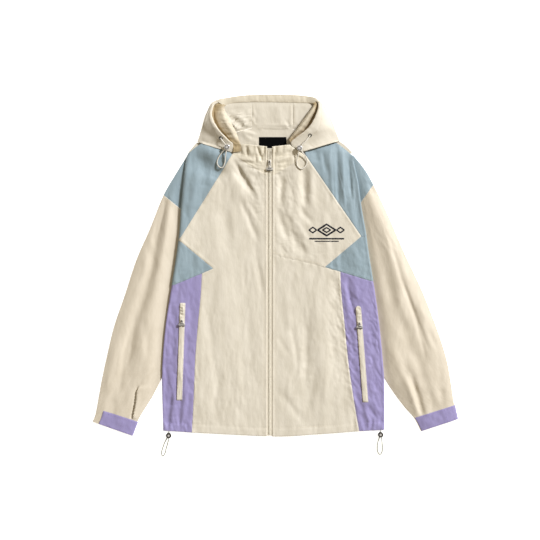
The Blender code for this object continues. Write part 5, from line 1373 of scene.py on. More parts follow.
def dress_cuff_tab(side, side_name, runs):
    """The tab across the sleeve's end, with a rectangle of stitches round it."""
    last = len(SLEEVES[side]) - 1
    if side < 0:
        ring_points = list(range(3, SLEEVE_ARC + 1 + SLEEVE_TOP * 7 // 8))
        starts = np.linspace(LEFT_TAB_INNER, LEFT_TAB_OUTER, len(ring_points))
    else:
        ring_points = list(range(SLEEVE_ARC, 2 * SLEEVE_ARC + SLEEVE_TOP + 1))
        starts = np.full(len(ring_points), last - RIGHT_TAB)
    shares = np.linspace(0, 1, 22)

    def wrinkled(x, y):
        return (sleeve_relief(x, y) - slit_lap(x, y)) * 0.5 + 0.55 * lattice_noise(x, y, 9, 12, 141)

    def face(depth):
        rows = []
        for share in shares:
            rows.append([sleeve_ring(side, start + (last - start) * share, depth, wrinkled)[point]
                         for start, point in zip(starts, ring_points)])
        return np.array(rows)

    outer, inner = face(-TAB_LIFT - WALL), face(-TAB_LIFT - WALL + CLOTH)
    u = np.linspace(0, 1, outer.shape[0])[:, None]
    v = np.linspace(0, 1, outer.shape[1])[None, :]
    from_edge = np.minimum(np.minimum(u, 1 - u) * 34, np.minimum(v, 1 - v) * 110)
    outer[..., 2] -= 0.5 * np.clip(1 - from_edge / 1.8, 0, 1) ** 2
    outer[..., 2], inner[..., 2] = np.maximum(outer[..., 2], 0.05), np.maximum(inner[..., 2], 0.3)
    flat = ring_cut(outer)
    piece = shell("dressed_cuff_tab_" + side_name, outer, inner, flat, lilac_nylon)
    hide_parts("cuff_tab_" + side_name)
    columns = outer.shape[1]
    runs += [flat_run(outer[row, 6:columns - 6]) for row in (2, 19)]
    uprights = (8, 18) if side < 0 else (columns - 18, columns - 9)
    runs += [flat_run(outer[2:20, column]) for column in uprights]


# ---------------------------------------------------------------- hood

HOOD_TABLES = {-1: LEFT_HOOD, 1: RIGHT_HOOD}
FACING_TABLES = {-1: LEFT_FACING, 1: RIGHT_FACING}
RIM_ROLL = 1.3         # radius over which the mouth's rim turns in


def hood_places(side, row):
    """The named places of a hood row: seam, fold, middle and rim, in plan, and the rim's height."""
    rows = HOOD_TABLES[side]

    def place(name):
        return np.array([float(along(rows, name + "_x", row)), float(along(rows, name + "_y", row))])

    return place("seam"), place("fold"), place("middle"), place("rim"), float(along(rows, "rim_z", row))


def hood_outer_point(side, row, share):
    """A point of the outer face, a share of the way from the side fold to the rim."""
    _, fold, middle, rim, rim_z = hood_places(side, row)
    out = (fold - middle) / np.linalg.norm(fold - middle)
    start = fold - out * HOOD_ROLL
    bend = 2 * middle - (start + rim) / 2
    plan = (1 - share) ** 2 * start + 2 * share * (1 - share) * bend + share ** 2 * rim
    low = FLOOR + 2 * HOOD_ROLL
    return np.array([*plan, low + (rim_z - low) * (1 - (1 - share) ** 1.8)])


def facing_edge(side, row):
    """The casing's inner edge and its heights at a hood row."""
    rows = FACING_TABLES[side]
    row = max(row, rows[0].row)
    values = [float(smooth(rows, column, row, key="row")) for column in ("x", "y", "rim_z", "z")]
    return np.array(values[:2]), values[2], values[3]


def rim_inward(side, row):
    rim = hood_places(side, row)[3]
    end = facing_edge(side, row)[0]
    return (end - rim) / np.linalg.norm(end - rim)


HOOD_HEM_LIFT = 4.4    # how far the hood's lower edge stands off the shoulders
HOOD_SEAMS = (-55, 41.5)    # x of the seams between the hood's centre and its sides
UNDER_COUNT = 22       # points of a hood section underneath, round the side fold and on the outer face
FOLD_COUNT = 8
OUTER_COUNT = 30


def hood_section(side, row):
    """A section of the hood's side: from the centre seam, round the side fold, up and over the rim."""
    seam, fold, middle, rim, rim_z = hood_places(side, row)
    out = (fold - middle) / np.linalg.norm(fold - middle)
    centre = fold - out * HOOD_ROLL
    points = [np.array([*(seam + (centre - seam) * share), FLOOR])
              for share in np.linspace(0, 1, UNDER_COUNT)]
    for angle in np.linspace(-math.pi / 2, math.pi / 2, FOLD_COUNT + 2)[1:-1]:
        plan = centre + out * HOOD_ROLL * math.cos(angle)
        points.append(np.array([*plan, FLOOR + HOOD_ROLL * (1 + math.sin(angle))]))
    points += [hood_outer_point(side, row, share) for share in np.linspace(0, 1, OUTER_COUNT)]
    inward = rim_inward(side, row)
    for angle in np.linspace(0, math.pi / 2, 5)[1:]:
        plan = rim + inward * RIM_ROLL * math.sin(angle)
        points.append(np.array([*plan, rim_z - RIM_ROLL * (1 - math.cos(angle))]))
    return points


def free_normals(points):
    normals = np.cross(np.gradient(points, axis=1), np.gradient(points, axis=0))
    return normals / np.linalg.norm(normals, axis=-1)[..., None]


def inside_bump(x, y):
    """How far the hood's inside stands off the surface: bunching, crinkles and the two long seams."""
    from_left, from_right = (x - seam_x for seam_x in HOOD_SEAMS)
    to_seam = np.minimum(np.abs(from_left), np.abs(from_right))
    seams = 1.3 - 0.5 * bell(from_left, 1.4) - 1.3 * bell(from_right, 1.7)
    seams = seams + 0.3 * bell(to_seam - 4.5, 2.5)
    bunched = 4.2 * np.exp(-(((x + 90) / 34) ** 2 + ((y - 337) / 27) ** 2))
    bunched = bunched + 1.3 * np.exp(-(((x - 34) / 22) ** 2 + ((y - 328) / 14) ** 2))
    small = lattice_noise(x + 0.6 * y, y - 0.5 * x, 8, 22, 61)
    small = small + 0.5 * creased(x - 0.7 * y, y + 0.5 * x, 7, 20, 62)
    raised = fold_relief(INSIDE_CREASES, x, y) + 0.6 * crinkle(x, y, 19) + seams
    return np.maximum(raised + bunched * (0.5 + 1.4 * small), 0) * soft_step((388 - y) / 14)


def dress_hood_sides():
    for side, side_name in ((-1, "left"), (1, "right")):
        rows = np.linspace(0, 10, 96)
        points = np.array([hood_section(side, row) for row in rows])
        normals = free_normals(points)
        normals *= np.sign(normals[48, -12, 2])
        x, y = points[..., 0], points[..., 1]
        outer_start = UNDER_COUNT + FOLD_COUNT
        share = np.zeros(points.shape[1])
        share[outer_start:] = np.concatenate([np.linspace(0, 1, OUTER_COUNT), np.ones(4)])
        on_face = soft_step(share / 0.15)[None, :]
        to_rim = (1 - share)[None, :] * 55
        height = (fold_relief(HOOD_CREASES, x, y) + 0.55 * crinkle(x, y, 29)) * calm(x, y)
        casing = 0.5 * (1 - soft_step((to_rim - 17) / 2)) - 0.3 * bell(to_rim - 18, 1.2)
        pucker = 0.45 * np.exp(-to_rim / 12) * lattice_noise(y + x * 0.4, x, 5.0, 40, 33)
        at_hem = bell(rows, 0.55)[:, None]
        hem_lift = HOOD_HEM_LIFT * at_hem * soft_step((1.05 - share) / 0.5)[None, :]
        height = (height + casing + pucker + hem_lift) * on_face
        under = np.zeros(points.shape[1])
        under[:UNDER_COUNT] = 1 - soft_step((np.linspace(0, 1, UNDER_COUNT) - 0.72) / 0.2)
        bump = inside_bump(x, y) * under[None, :] * soft_step(rows / 1.4)[:, None]
        outer = points + (WALL / 2 + height)[..., None] * normals
        inner = outer - normals * CLOTH
        outer[..., 2] += bump * 0.9
        inner[..., 2] += bump + (under[None, :] * (WALL - CLOTH))
        flat = ring_cut(points)
        piece = shell("hood_" + side_name + "_cloth", outer, inner, flat, cream_nylon)
        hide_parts("hood_side_" + side_name)
        for column, inset_rows in ((18, slice(3, 93)), (OUTER_COUNT - 2, slice(1, 95))):
            column += outer_start
            cream_runs.append((outer[inset_rows, column], normals[inset_rows, column]))


def dress_hood_centre():
    rows = len(LEFT_HOOD) - 1
    at = np.linspace(0, rows, 40)
    x_left, y_left = along(LEFT_HOOD, "seam_x", at), along(LEFT_HOOD, "seam_y", at)
    x_right, y_right = along(RIGHT_HOOD, "seam_x", at), along(RIGHT_HOOD, "seam_y", at)
    share = np.linspace(0, 1, 42)[None, :]
    x = x_left[:, None] + (x_right - x_left)[:, None] * share
    y = y_left[:, None] + (y_right - y_left)[:, None] * share
    lap = np.exp(-at / 0.5)[:, None]
    y = y - 3.0 * lap
    bump = inside_bump(x, y)
    edge = soft_step(at / 1.5)[:, None]
    outer = np.stack([x, y, WALL + bump * edge + lap * (0.1 + 0.2 * edge)], axis=-1)
    beneath = np.maximum(WALL - CLOTH + bump * 0.9, 0.1) * (1 - lap) + (WALL + 0.05) * lap
    inner = np.stack([x, y, beneath], axis=-1)
    flat = np.stack([x, y], axis=-1)
    piece = shell("hood_centre_cloth", outer, inner, flat, cream_nylon)
    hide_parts("hood_centre")
    for seam_x in HOOD_SEAMS:
        for away in (-3.4, 3.4):
            line_y = np.linspace(332, 380, 50)
            line_x = np.full(50, seam_x + away)
            z = WALL + inside_bump(line_x, line_y)
            cream_runs.append(flat_run(np.stack([line_x, line_y, z], axis=1)))


# Section of each casing: a share of the way in from the rim, and its height between edge (0) and rim (1)
FacingPlace = namedtuple("FacingPlace", "share drop")
FACING_SECTIONS = {
    -1: table(FacingPlace, [(0, 1), (0.02, 0.30), (0.05, 0.03), (0.26, 0.12), (0.52, 0.36), (0.78, 0.56),
                            (0.92, 0.34), (1, 0)]),
    1: table(FacingPlace, [(0, 1), (0.03, 0.30), (0.12, 0.0), (0.28, 0.08), (0.64, 0.60), (0.86, 0.50),
                           (1, 0)]),
}


def dress_facings():
    """The casing inside the hood's mouth: down from the rim into a groove, over a ridge and to its edge."""
    across = np.concatenate([np.linspace(0, 0.09, 7)[:-1], np.linspace(0.09, 1, 25)])
    for side, side_name in ((-1, "left"), (1, "right")):
        drops = smooth(FACING_SECTIONS[side], "drop", across, key="share")
        facing = FACING_TABLES[side]
        rows = np.linspace(facing[0].row, facing[-1].row, 90)
        grid = []
        for row in rows:
            rim = hood_places(side, row)[3]
            end, rim_z, z = facing_edge(side, row)
            inward = (end - rim) / np.linalg.norm(end - rim)
            start = rim + inward * (RIM_ROLL - 0.2)
            plan = start + (end - start) * across[:, None]
            grid.append(np.concatenate([plan, (z + (rim_z - z) * drops)[:, None]], axis=1))
        grid = np.array(grid)
        normals = free_normals(grid)
        normals *= np.sign(normals[45, 16, 2])
        flat = ring_cut(grid)
        down = flat[..., 1]
        ends = soft_step(across / 0.12) * (0.6 + 0.4 * soft_step((1 - across) / 0.1))
        in_groove = bell(across - 0.2, 0.2)[None, :]
        ripples = (0.55 + 0.9 * in_groove) * lattice_noise(down, grid[..., 0], 6.5, 30, 37) * ends
        ripples += (0.75 if side < 0 else 0.4) * creased(down, flat[..., 0], 7.5, 16, 39) * ends
        outer = grid + (WALL / 2 + ripples)[..., None] * normals
        inner = outer - normals * CLOTH
        piece = shell("hood_casing_" + side_name, outer, inner, flat, casing_cream_painted_shade)
        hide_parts("hood_facing_" + side_name)
        cream_runs.append((outer[2:88, 27], normals[2:88, 27]))
    dress_top_casing()


def dress_top_casing():
    """The casing across the top of the mouth, a soft tube folded over its cord."""
    outer_edge = resampled([(-139, 389), *TOP_BAND_OUTER, (100.5, 394)], 120)
    inner_edge = resampled([(-120, 377), *TOP_BAND_INNER, (91.5, 382.5)], 120)
    share = np.linspace(0, 1, 12)[:, None, None]
    plan = inner_edge[None] + (outer_edge - inner_edge)[None] * share
    x = plan[..., 0]
    y = plan[..., 1]
    hump = np.sin(math.pi * np.linspace(0, 1, 12))[:, None] ** 0.6
    gathers = 0.7 * lattice_noise(x, y, 7.5, 30, 43) + 0.4 * creased(x, y, 5, 16, 44)
    raised = 0.1 + 0.8 * hump + gathers * hump
    floor_z = FLOOR + WALL / 2 + SEAM
    rise = 4.6 * bell(x + 136, 15) + 4.6 * bell(x - 97, 13)
    outer = np.concatenate([plan, (floor_z + 0.4 + raised + rise)[..., None]], axis=-1)
    inner = np.concatenate([plan, np.full(x.shape + (1,), floor_z + 0.05)], axis=-1)
    piece = shell("hood_casing_top", outer, inner, plan, lining_cream_painted_shade)
    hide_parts("hood_facing_top")
    for row in (1, -2):
        cream_runs.append(flat_run(outer[row, 3:-3]))


# ---------------------------------------------------------------- zips

TAPE_HALF = 10.4       # width of each half of the zip's tape
TAPE_RISE = 0.8        # the tape's stiffness holds it up to the plackets
CHAIN_HEIGHT = 1.6
TOOTH_PITCH = 1.9
TOOTH = 0.66           # radius of a coil's tooth
OPEN_APART = 1.9       # how far each row of teeth stands back above the slider
SLIDER_GAP = 0.35
STRIP_GAP = 0.65


def zip_level(y):
    return front_height(np.full(np.shape(y), ZIP_X), np.asarray(y, float), np.full(np.shape(y), 200.0))


def tape_top(y):
    return zip_level(y) - WALL / 2 - 0.35


def dress_front_zip():
    y = np.linspace(ZIP_BOTTOM, ZIP_TOP, 220)
    for side, side_name in ((-1, "left"), (1, "right")):
        x = ZIP_X + side * np.linspace(0.2, TAPE_HALF, 9)
        grid = np.stack(np.meshgrid(x, y), axis=-1)
        groove = 0.25 * np.exp(-(np.abs(grid[..., 0] - ZIP_X) - 4) ** 2)
        z = tape_top(y)[:, None] + TAPE_RISE - groove
        outer = np.concatenate([grid, z[..., None]], axis=-1)
        inner = outer - (0, 0, CLOTH)
        piece = shell("front_tape_" + side_name, outer, inner, grid, cream_tape)
        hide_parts("zip_tape_" + side_name)
    places = np.arange(ZIP_BOTTOM + 5, ZIP_TOP - 3, TOOTH_PITCH)
    teeth = []
    for side in (-1, 1):
        at = places + (0.5 * TOOTH_PITCH if side > 0 else 0)
        apart = np.where(at > SLIDER_Y, OPEN_APART, 0.0)
        z = tape_top(at) + TAPE_RISE + 0.35
        root = np.stack([ZIP_X + side * (2.7 + apart), at, z], axis=1)
        head = np.stack([ZIP_X - side * (0.9 - apart), at, z], axis=1)
        teeth.append(bars(root, head, upright(len(at)), TOOTH, 0.1))
    chain = piece_of_parts("front_zip_coil", teeth, cream_coil, sharp=70)
    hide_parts("zip_chain")


def dress_pocket_zips():
    for side_name, (top, bottom, slider_y) in POCKETS.items():
        lift = panels[side_name + "_side_panel"]
        rows = straight(bottom, top, 150)
        half = STRIP_WIDTH / 2
        across = np.linspace(-1, 1, 17)
        from_top = top.y - rows[:, 1]
        corner = half if side_name == "right" else 1.5
        rounding = np.sqrt(np.clip(1 - np.clip(1 - from_top / corner, 0, 1) ** 2, 0.02, 1))
        taper = rounding * corner + half - corner
        grid = rows[:, None, :] + np.stack([across * taper[:, None], np.zeros((len(rows), 17))], axis=-1)
        x, y = grid[..., 0], grid[..., 1]
        above_slider = soft_step((y - slider_y - 6) / 8)
        lips = (0.9 * (1 - np.abs(across + 0.1) ** 2.4) - 0.5 * bell(across - 0.62, 0.10))[None, :]
        ruffle = 0.9 * lattice_noise(y, x, 3.4, 7, 51) + 0.5 * lattice_noise(x, y, 3.2, 5, 52)
        ruffle = above_slider * ruffle
        ends = np.minimum(soft_step((y - bottom.y) / 2.5), soft_step((top.y - y) / 2.5))
        sides = soft_step((1 - np.abs(across)) / 0.14)[None, :]
        for dimple_x, dimple_y in ZIP_GARAGE_DIMPLES:
            ruffle = ruffle - 2.6 * np.exp(-((x - dimple_x) ** 2 + (y - dimple_y) ** 2) / 1.9 ** 2)
        raised = ((lips + ruffle) * ends + 0.25 * lattice_noise(x, y, 5, 17, 53)) * sides
        points, normals = body_grid(grid)
        base = WALL / 2 + lift(x, y) * 0.9 + 0.15
        level = base + np.maximum(STRIP_GAP + 0.9 + raised, 0.5)
        edge_drop = (1 - sides * ends) * 0.9
        outer = points + (level - edge_drop)[..., None] * normals
        inner = points + (base - 0.1)[..., None] * normals
        piece = shell("pocket_flap_" + side_name, outer, inner, grid, cream_nylon)
        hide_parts("pocket_zip_" + side_name)
        for column in (1, 15):
            cream_runs.append((outer[4:-4, column], normals[4:-4, column]))


# ---------------------------------------------------------------- metal

def start_alone():
    bpy.ops.object.select_all(action="DESELECT")


def edit_faces(piece, chosen):
    """Opens the piece in edit mode with just the faces for which chosen(centre, normal) holds."""
    bpy.context.view_layer.objects.active = piece
    bpy.ops.object.mode_set(mode="EDIT")
    bpy.ops.mesh.select_mode(type="FACE")
    bpy.ops.mesh.select_all(action="DESELECT")
    bpy.ops.object.mode_set(mode="OBJECT")
    for face in piece.data.polygons:
        face.select = chosen(face.center, face.normal)
    bpy.ops.object.mode_set(mode="EDIT")


def end_edit():
    bpy.ops.object.mode_set(mode="OBJECT")


def block(name, size, place):
    """A block with eased edges to shape further."""
    start_alone()
    bpy.ops.mesh.primitive_cube_add(size=1, location=metres(place))
    piece = bpy.context.object
    piece.name = name
    piece.scale = metres(size)
    bpy.ops.object.transform_apply(location=True, rotation=True, scale=True)
    return piece


def soften(piece, width, segments=2):
    edge = piece.modifiers.new("eased_edges", "BEVEL")
    edge.width = width * MM
    edge.segments = segments
    edge.limit_method = "ANGLE"
    bpy.context.view_layer.objects.active = piece
    bpy.ops.object.modifier_apply(modifier=edge.name)


def cut_away(piece, cutter):
    hole = piece.modifiers.new("hole", "BOOLEAN")
    hole.operation = "DIFFERENCE"
    hole.object = cutter
    bpy.context.view_layer.objects.active = piece
    bpy.ops.object.modifier_apply(modifier=hole.name)
    bpy.data.objects.remove(cutter)


def bar_through(radius, length, place, axis):
    """A round cutter along an axis."""
    start_alone()
    turn = {"X": (0, math.pi / 2, 0), "Y": (math.pi / 2, 0, 0), "Z": (0, 0, 0)}[axis]
    bpy.ops.mesh.primitive_cylinder_add(vertices=20, radius=radius * MM, depth=length * MM,
                                        location=metres(place), rotation=turn)
    return bpy.context.object


def join_up(pieces, name):
    start_alone()
    for piece in pieces:
        piece.select_set(True)
    bpy.context.view_layer.objects.active = pieces[0]
    bpy.ops.object.join()
    joined = bpy.context.object
    joined.name = name
    return joined


def finish_metal(piece, finish, body, replaced, sharp=38):
    piece.data.materials.clear()
    piece.data.materials.append(finish)
    start_alone()
    piece.select_set(True)
    bpy.context.view_layer.objects.active = piece
    bpy.ops.object.transform_apply(location=True, rotation=True, scale=True)
    bpy.ops.object.mode_set(mode="EDIT")
    bpy.ops.mesh.select_all(action="SELECT")
    bpy.ops.mesh.remove_doubles(threshold=0.000002)
    bpy.ops.mesh.normals_make_consistent(inside=False)
    bpy.ops.object.mode_set(mode="OBJECT")
    bpy.ops.object.shade_smooth_by_angle(angle=math.radians(sharp))
    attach(piece, body)
    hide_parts(replaced)
    return piece


SLIDER_PLATE = (8.6, 11.0, 1.8)
BAIL_HALF = 3.5        # from a slider's middle to the foot of its bail
BAIL_WIDTH = 2.0
PIVOT_RISE = 1.8       # from a slider's plate to the middle of its pull's pin
PULL_WIDTH = 15.0
PULL_TAB = 8.0         # length of a pull's bow
FRONT_ARM = 13.5       # lengths of the pulls' arms
POCKET_ARM = 4.6
PULL_THICK = 1.5
MOST_TILT = 0.13       # sine of the most a pull hangs down


def zip_slider(name, x, y, seat):
    """A die-cast slider: a plate that narrows towards the hem, with a nose and a round bail."""
    wide, long, thick = SLIDER_PLATE
    plate = block(name, (wide, long, thick), (x, y, seat + thick / 2))
    edit_faces(plate, lambda centre, normal: normal.y < -0.9)
    bpy.ops.transform.resize(value=(0.72, 1, 1), center_override=(x * MM, (y - long / 2) * MM, seat * MM))
    end_edit()
    edit_faces(plate, lambda centre, normal: normal.z > 0.9)
    bpy.ops.mesh.inset(thickness=1.1 * MM)
    bpy.ops.transform.translate(value=(0, 0, 0.35 * MM))
    end_edit()
    soften(plate, 0.45, 3)
    start_alone()
    foot = (x, y + BAIL_HALF - 0.6, seat + thick + 0.6)
    bpy.ops.mesh.primitive_plane_add(size=1, location=metres(foot))
    bail = bpy.context.object
    bail.scale = (BAIL_WIDTH * MM, 1.2 * MM, 1)
    bpy.ops.object.transform_apply(location=True, rotation=True, scale=True)
    bpy.ops.object.mode_set(mode="EDIT")
    bpy.ops.mesh.select_all(action="SELECT")
    bpy.ops.mesh.spin(steps=12, angle=math.pi, center=metres((x, y, seat + thick + 0.2)), axis=(-1, 0, 0))
    end_edit()
    soften(bail, 0.25)
    return join_up([plate, bail], name)


def pull_tab(name, x, y, pivot, tilt, arm_length):
    """A bow-shaped pull: two rounded lobes with a waist between them, on two arms hooked round the bail."""
    middle = -arm_length - PULL_TAB / 2
    tab = block(name, (PULL_WIDTH, PULL_TAB, PULL_THICK), (0, middle, 0))
    edit_faces(tab, lambda centre, normal: True)
    bpy.ops.mesh.subdivide(number_cuts=3)
    bpy.ops.mesh.select_all(action="DESELECT")
    bpy.ops.object.mode_set(mode="OBJECT")
    for vertex in tab.data.vertices:
        vertex.select = abs(vertex.co.x) < 0.5 * MM
    bpy.ops.object.mode_set(mode="EDIT")
    bpy.ops.mesh.select_mode(type="VERT")
    bpy.ops.transform.resize(value=(1, 0.5, 0.7), center_override=(0, middle * MM, 0))
    end_edit()
    edit_faces(tab, lambda centre, normal: abs(normal.x) > 0.9)
    bpy.ops.transform.resize(value=(1, 0.66, 0.8), center_override=(0, middle * MM, 0))
    end_edit()
    soften(tab, 0.5, 3)
    for side in (-1, 1):
        cut_away(tab, bar_through(1.35, PULL_THICK * 4, (side * PULL_WIDTH * 0.27, middle, 0), "Z"))
    arms = []
    for side in (-1, 1):
        arm = block("arm", (1.2, arm_length + 2.4, 1.3), (side * 2.0, 0.4 - (arm_length + 1.0) / 2, 0))
        soften(arm, 0.4, 3)
        arms.append(arm)
    pin = block("pin", (4.8, 1.2, 1.2), (0, 0, 0))
    soften(pin, 0.4, 3)
    knot = block("knot", (5.0, 2.6, 1.9), (0, -arm_length + 0.2, 0))
    soften(knot, 0.6, 3)
    whole = join_up([tab, *arms, pin, knot], name)
    whole.location = (x * MM, y * MM, pivot * MM)
    whole.rotation_euler = (tilt, 0, 0)
    return whole


def second_finish(piece, finish, chosen):
    """Gives the faces for which chosen(centre, normal) holds a finish of their own."""
    piece.data.materials.append(finish)
    for face in piece.data.polygons:
        if chosen(face.center, face.normal):
            face.material_index = 1


def dress_slider(slider_node, pull_node, x, y, seat, lowest, arm_length):
    slider = zip_slider("dressed_" + slider_node, x, y, seat)
    finish_metal(slider, cream_enamel, "jacket", slider_node)
    # painted shade: darkened silver on the crest of the bail
    second_finish(slider, silver_painted_shade, lambda centre, normal: centre.z > (seat + SLIDER_PLATE[2] + 1.2) * MM
                  and abs(centre.y - y * MM) < 2.6 * MM)
    pivot = seat + SLIDER_PLATE[2] + PIVOT_RISE
    drop = pivot - PULL_THICK / 2 - lowest
    tilt = math.asin(min(MOST_TILT, max(0.0, drop / (arm_length + PULL_TAB))))
    pull = pull_tab("dressed_" + pull_node, x, y, pivot, tilt, arm_length)
    finish_metal(pull, silver_metal, pull_node, pull_node)
    below = (y - arm_length) * MM
    # painted shade: darkened silver on the pull's waist, its downward faces and its lower end
    second_finish(pull, silver_painted_shade, lambda centre, normal: centre.y < below and (
        abs(centre.x - x * MM) < 2.2 * MM or normal.y < -0.3 or centre.y < below - PULL_TAB * 0.72 * MM))


def surface_height(x, y, spread=0.0):
    """Highest cloth surface of the solid at a place of the front, or within a spread round it."""
    offsets = (-spread, 0, spread)
    heights = [float(body_point(np.array(x + a), np.array(y + b))[2]) for a in offsets for b in offsets]
    return max(heights) + WALL / 2


def dress_sliders():
    chain_top = float(tape_top(SLIDER_Y)) + SEAM + CHAIN_HEIGHT
    lowest = surface_height(ZIP_X, SLIDER_Y - 14, 9.0) + 0.6
    dress_slider("front_slider", "front_pull", ZIP_X, SLIDER_Y, chain_top + SLIDER_GAP, lowest,
                 FRONT_ARM)
    for side_name, (top, bottom, slider_y) in POCKETS.items():
        share = (slider_y - bottom.y) / (top.y - bottom.y)
        x = bottom.x + (top.x - bottom.x) * share
        seat = surface_height(x, slider_y) + STRIP_GAP + WALL + SLIDER_GAP
        dress_slider("pocket_slider_" + side_name, "pocket_pull_" + side_name, x, slider_y, seat,
                     seat + SLIDER_GAP, POCKET_ARM)


LOCK_BUTTON = 3.9      # radius of a cord lock's button
LOCK_EASE = 1.5        # rounding of its rim
LOCK_GROOVE = 0.9      # width and depth of the turned groove round the button


def cord_lock(node, place, base):
    """A barrel cord lock seen from its button, with two cord holes and a turned groove."""
    start_alone()
    bpy.ops.mesh.primitive_cylinder_add(vertices=36, radius=LOCK_RADIUS * MM, depth=LOCK_HEIGHT * MM,
                                        location=metres((place.x, place.y, base + LOCK_HEIGHT / 2)))
    barrel = bpy.context.object
    barrel.name = "dressed_" + node
    bpy.ops.object.transform_apply(location=True, rotation=True, scale=True)
    soften(barrel, LOCK_EASE, 4)
    top = (base + LOCK_HEIGHT) * MM
    edit_faces(barrel, lambda centre, normal: normal.z > 0.99 and centre.z > top - 0.1 * MM)
    bpy.ops.mesh.inset(thickness=(LOCK_RADIUS - LOCK_EASE - LOCK_BUTTON) * MM)
    bpy.ops.mesh.extrude_region_move(TRANSFORM_OT_translate={"value": (0, 0, -LOCK_GROOVE * MM)})
    bpy.ops.mesh.inset(thickness=0.3 * MM)
    bpy.ops.mesh.extrude_region_move(TRANSFORM_OT_translate={"value": (0, 0, 0.85 * MM)})
    bpy.ops.mesh.inset(thickness=0.9 * MM)
    bpy.ops.transform.translate(value=(0, 0, -0.25 * MM))
    end_edit()
    for offset in (-2.6, 2.6):
        cut_away(barrel, bar_through(1.6, LOCK_RADIUS * 3,
                                     (place.x + offset, place.y, base + LOCK_HEIGHT / 2), "Y"))
    finish_metal(barrel, silver_metal, "jacket", node)
    at_hem = node.startswith("hem")
    ring = LOCK_BUTTON - LOCK_GROOVE if at_hem else LOCK_BUTTON
    outer = LOCK_RADIUS if at_hem else LOCK_BUTTON + LOCK_GROOVE
    # painted shade and dark reflection: darkened silver on a ring round the button, and on the hem locks on
    # the groove and all the barrel round the button
    second_finish(barrel, silver_painted_shade, lambda centre, normal: ring * MM < math.hypot(
        centre.x - place.x * MM, centre.y - place.y * MM) < outer * MM)
    return barrel


EYELET_RADIUS = 4.7
# An eyelet's rolled rim from its outside inwards: the radius of each ring and its rise from the one before
EYELET_PROFILE = [(4.65, 0.5), (4.3, 0.45), (3.7, 0.15), (3.1, -0.1), (2.6, -0.35), (2.4, -0.65)]


def eyelet_ring(node, place, normal):
    """A pressed eyelet: a rolled rim round a hole, laid on the cloth."""
    start_alone()
    bpy.ops.mesh.primitive_circle_add(vertices=28, radius=EYELET_RADIUS * MM, location=(0, 0, 0))
    ring = bpy.context.object
    ring.name = "dressed_" + node
    bpy.ops.object.mode_set(mode="EDIT")
    bpy.ops.mesh.select_all(action="SELECT")
    radius = EYELET_RADIUS
    for next_radius, rise in EYELET_PROFILE:
        bpy.ops.mesh.extrude_edges_move(TRANSFORM_OT_translate={"value": (0, 0, rise * MM)})
        share = next_radius / radius
        bpy.ops.transform.resize(value=(share, share, 1), center_override=(0, 0, 0))
        radius = next_radius
    bpy.ops.mesh.select_all(action="DESELECT")
    bpy.ops.mesh.select_mode(type="EDGE")
    bpy.ops.mesh.select_non_manifold()
    bpy.ops.mesh.bridge_edge_loops()
    end_edit()
    axis = np.array(normal, float)
    tilt = math.acos(float(axis[2]))
    ring.location = metres(place)
    ring.rotation_mode = "AXIS_ANGLE"
    turn = np.cross((0, 0, 1), axis)
    turn /= np.linalg.norm(turn)
    ring.rotation_axis_angle = (tilt, *turn)
    # painted shade: the whole eyelet is darkened silver
    return finish_metal(ring, silver_painted_shade, "jacket", node)


# ---------------------------------------------------------------- cords

def drawcord(name, route, replaced, finish=cord_braid):
    """A round braided cord through a route's points, from its eyelet through the lock and back to it."""
    route = np.array(route, float)
    length = np.linalg.norm(np.diff(route, axis=0), axis=1).sum()
    points = resampled(route, max(24, int(length / 2.2)))
    curve = bpy.data.curves.new(name, "CURVE")
    curve.dimensions = "3D"
    curve.bevel_depth = CORD / 2 * MM
    curve.bevel_resolution = 3
    curve.use_fill_caps = True
    spline = curve.splines.new("POLY")
    spline.points.add(len(points) - 1)
    for target, point in zip(spline.points, points):
        target.co = (*(point * MM), 1)
    spline.use_smooth = True
    curve.materials.append(finish)
    piece = bpy.data.objects.new(name, curve)
    bpy.context.scene.collection.objects.link(piece)
    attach(piece, "jacket")
    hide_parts(*replaced)


def cord_loop(plan, lock, middle, rises, surface):
    """A loop lying on a surface, rising at both ends to its lock's middle and ending inside it."""
    loop = []
    for number, (x, y) in enumerate(plan):
        rest = surface(x, y) + CORD / 2
        from_end = min(number, len(plan) - 1 - number)
        share = rises[from_end] if from_end < len(rises) else 0.0
        loop.append((x, y, rest + (middle - rest) * share))
    x, y = plan[-1]
    return loop + [(x * 0.45 + lock.x * 0.55, y * 0.45 + lock.y * 0.55, middle)]


def eyelet_place(side, eyelet):
    row, share = eyelet
    step = 0.02
    here = hood_outer_point(side, row, share)
    across = hood_outer_point(side, row, share + step) - hood_outer_point(side, row, share - step)
    ahead = hood_outer_point(side, row + step, share) - hood_outer_point(side, row - step, share)
    normal = np.cross(across, ahead) * -side
    return here, normal / np.linalg.norm(normal)


def hood_trim(side, side_name, eyelet, lock):
    here, normal = eyelet_place(side, eyelet)
    lift = WALL / 2 + 0.45
    eyelet_ring("hood_eyelet_" + side_name, here + normal * lift, normal)
    base = max(surface_height(lock.x, lock.y - 3, 4.0), HOOD_LOCK_REST[side]) + 0.5
    barrel = cord_lock("hood_lock_" + side_name, lock, base)
    middle = base + LOCK_HEIGHT / 2
    mouth = here + normal * (lift + CORD / 2 + 0.7)
    centre = np.array([lock.x, lock.y, middle])
    towards = mouth[:2] - centre[:2]
    towards /= np.linalg.norm(towards)
    entry = centre.copy()
    entry[:2] += towards * (LOCK_RADIUS + 0.35)
    bow = (mouth + entry) / 2 + np.array([0, 0, 1.8])
    loop = cord_loop(HOOD_LOOPS[side_name], lock, middle, (1.0, 0.55, 0.15),
                     lambda x, y: surface_height(x, y, 2.0) + 0.5)
    drawcord("hood_drawcord_" + side_name, [mouth, bow, entry, *loop],
             ["hood_cord_" + side_name, "hood_loop_" + side_name])


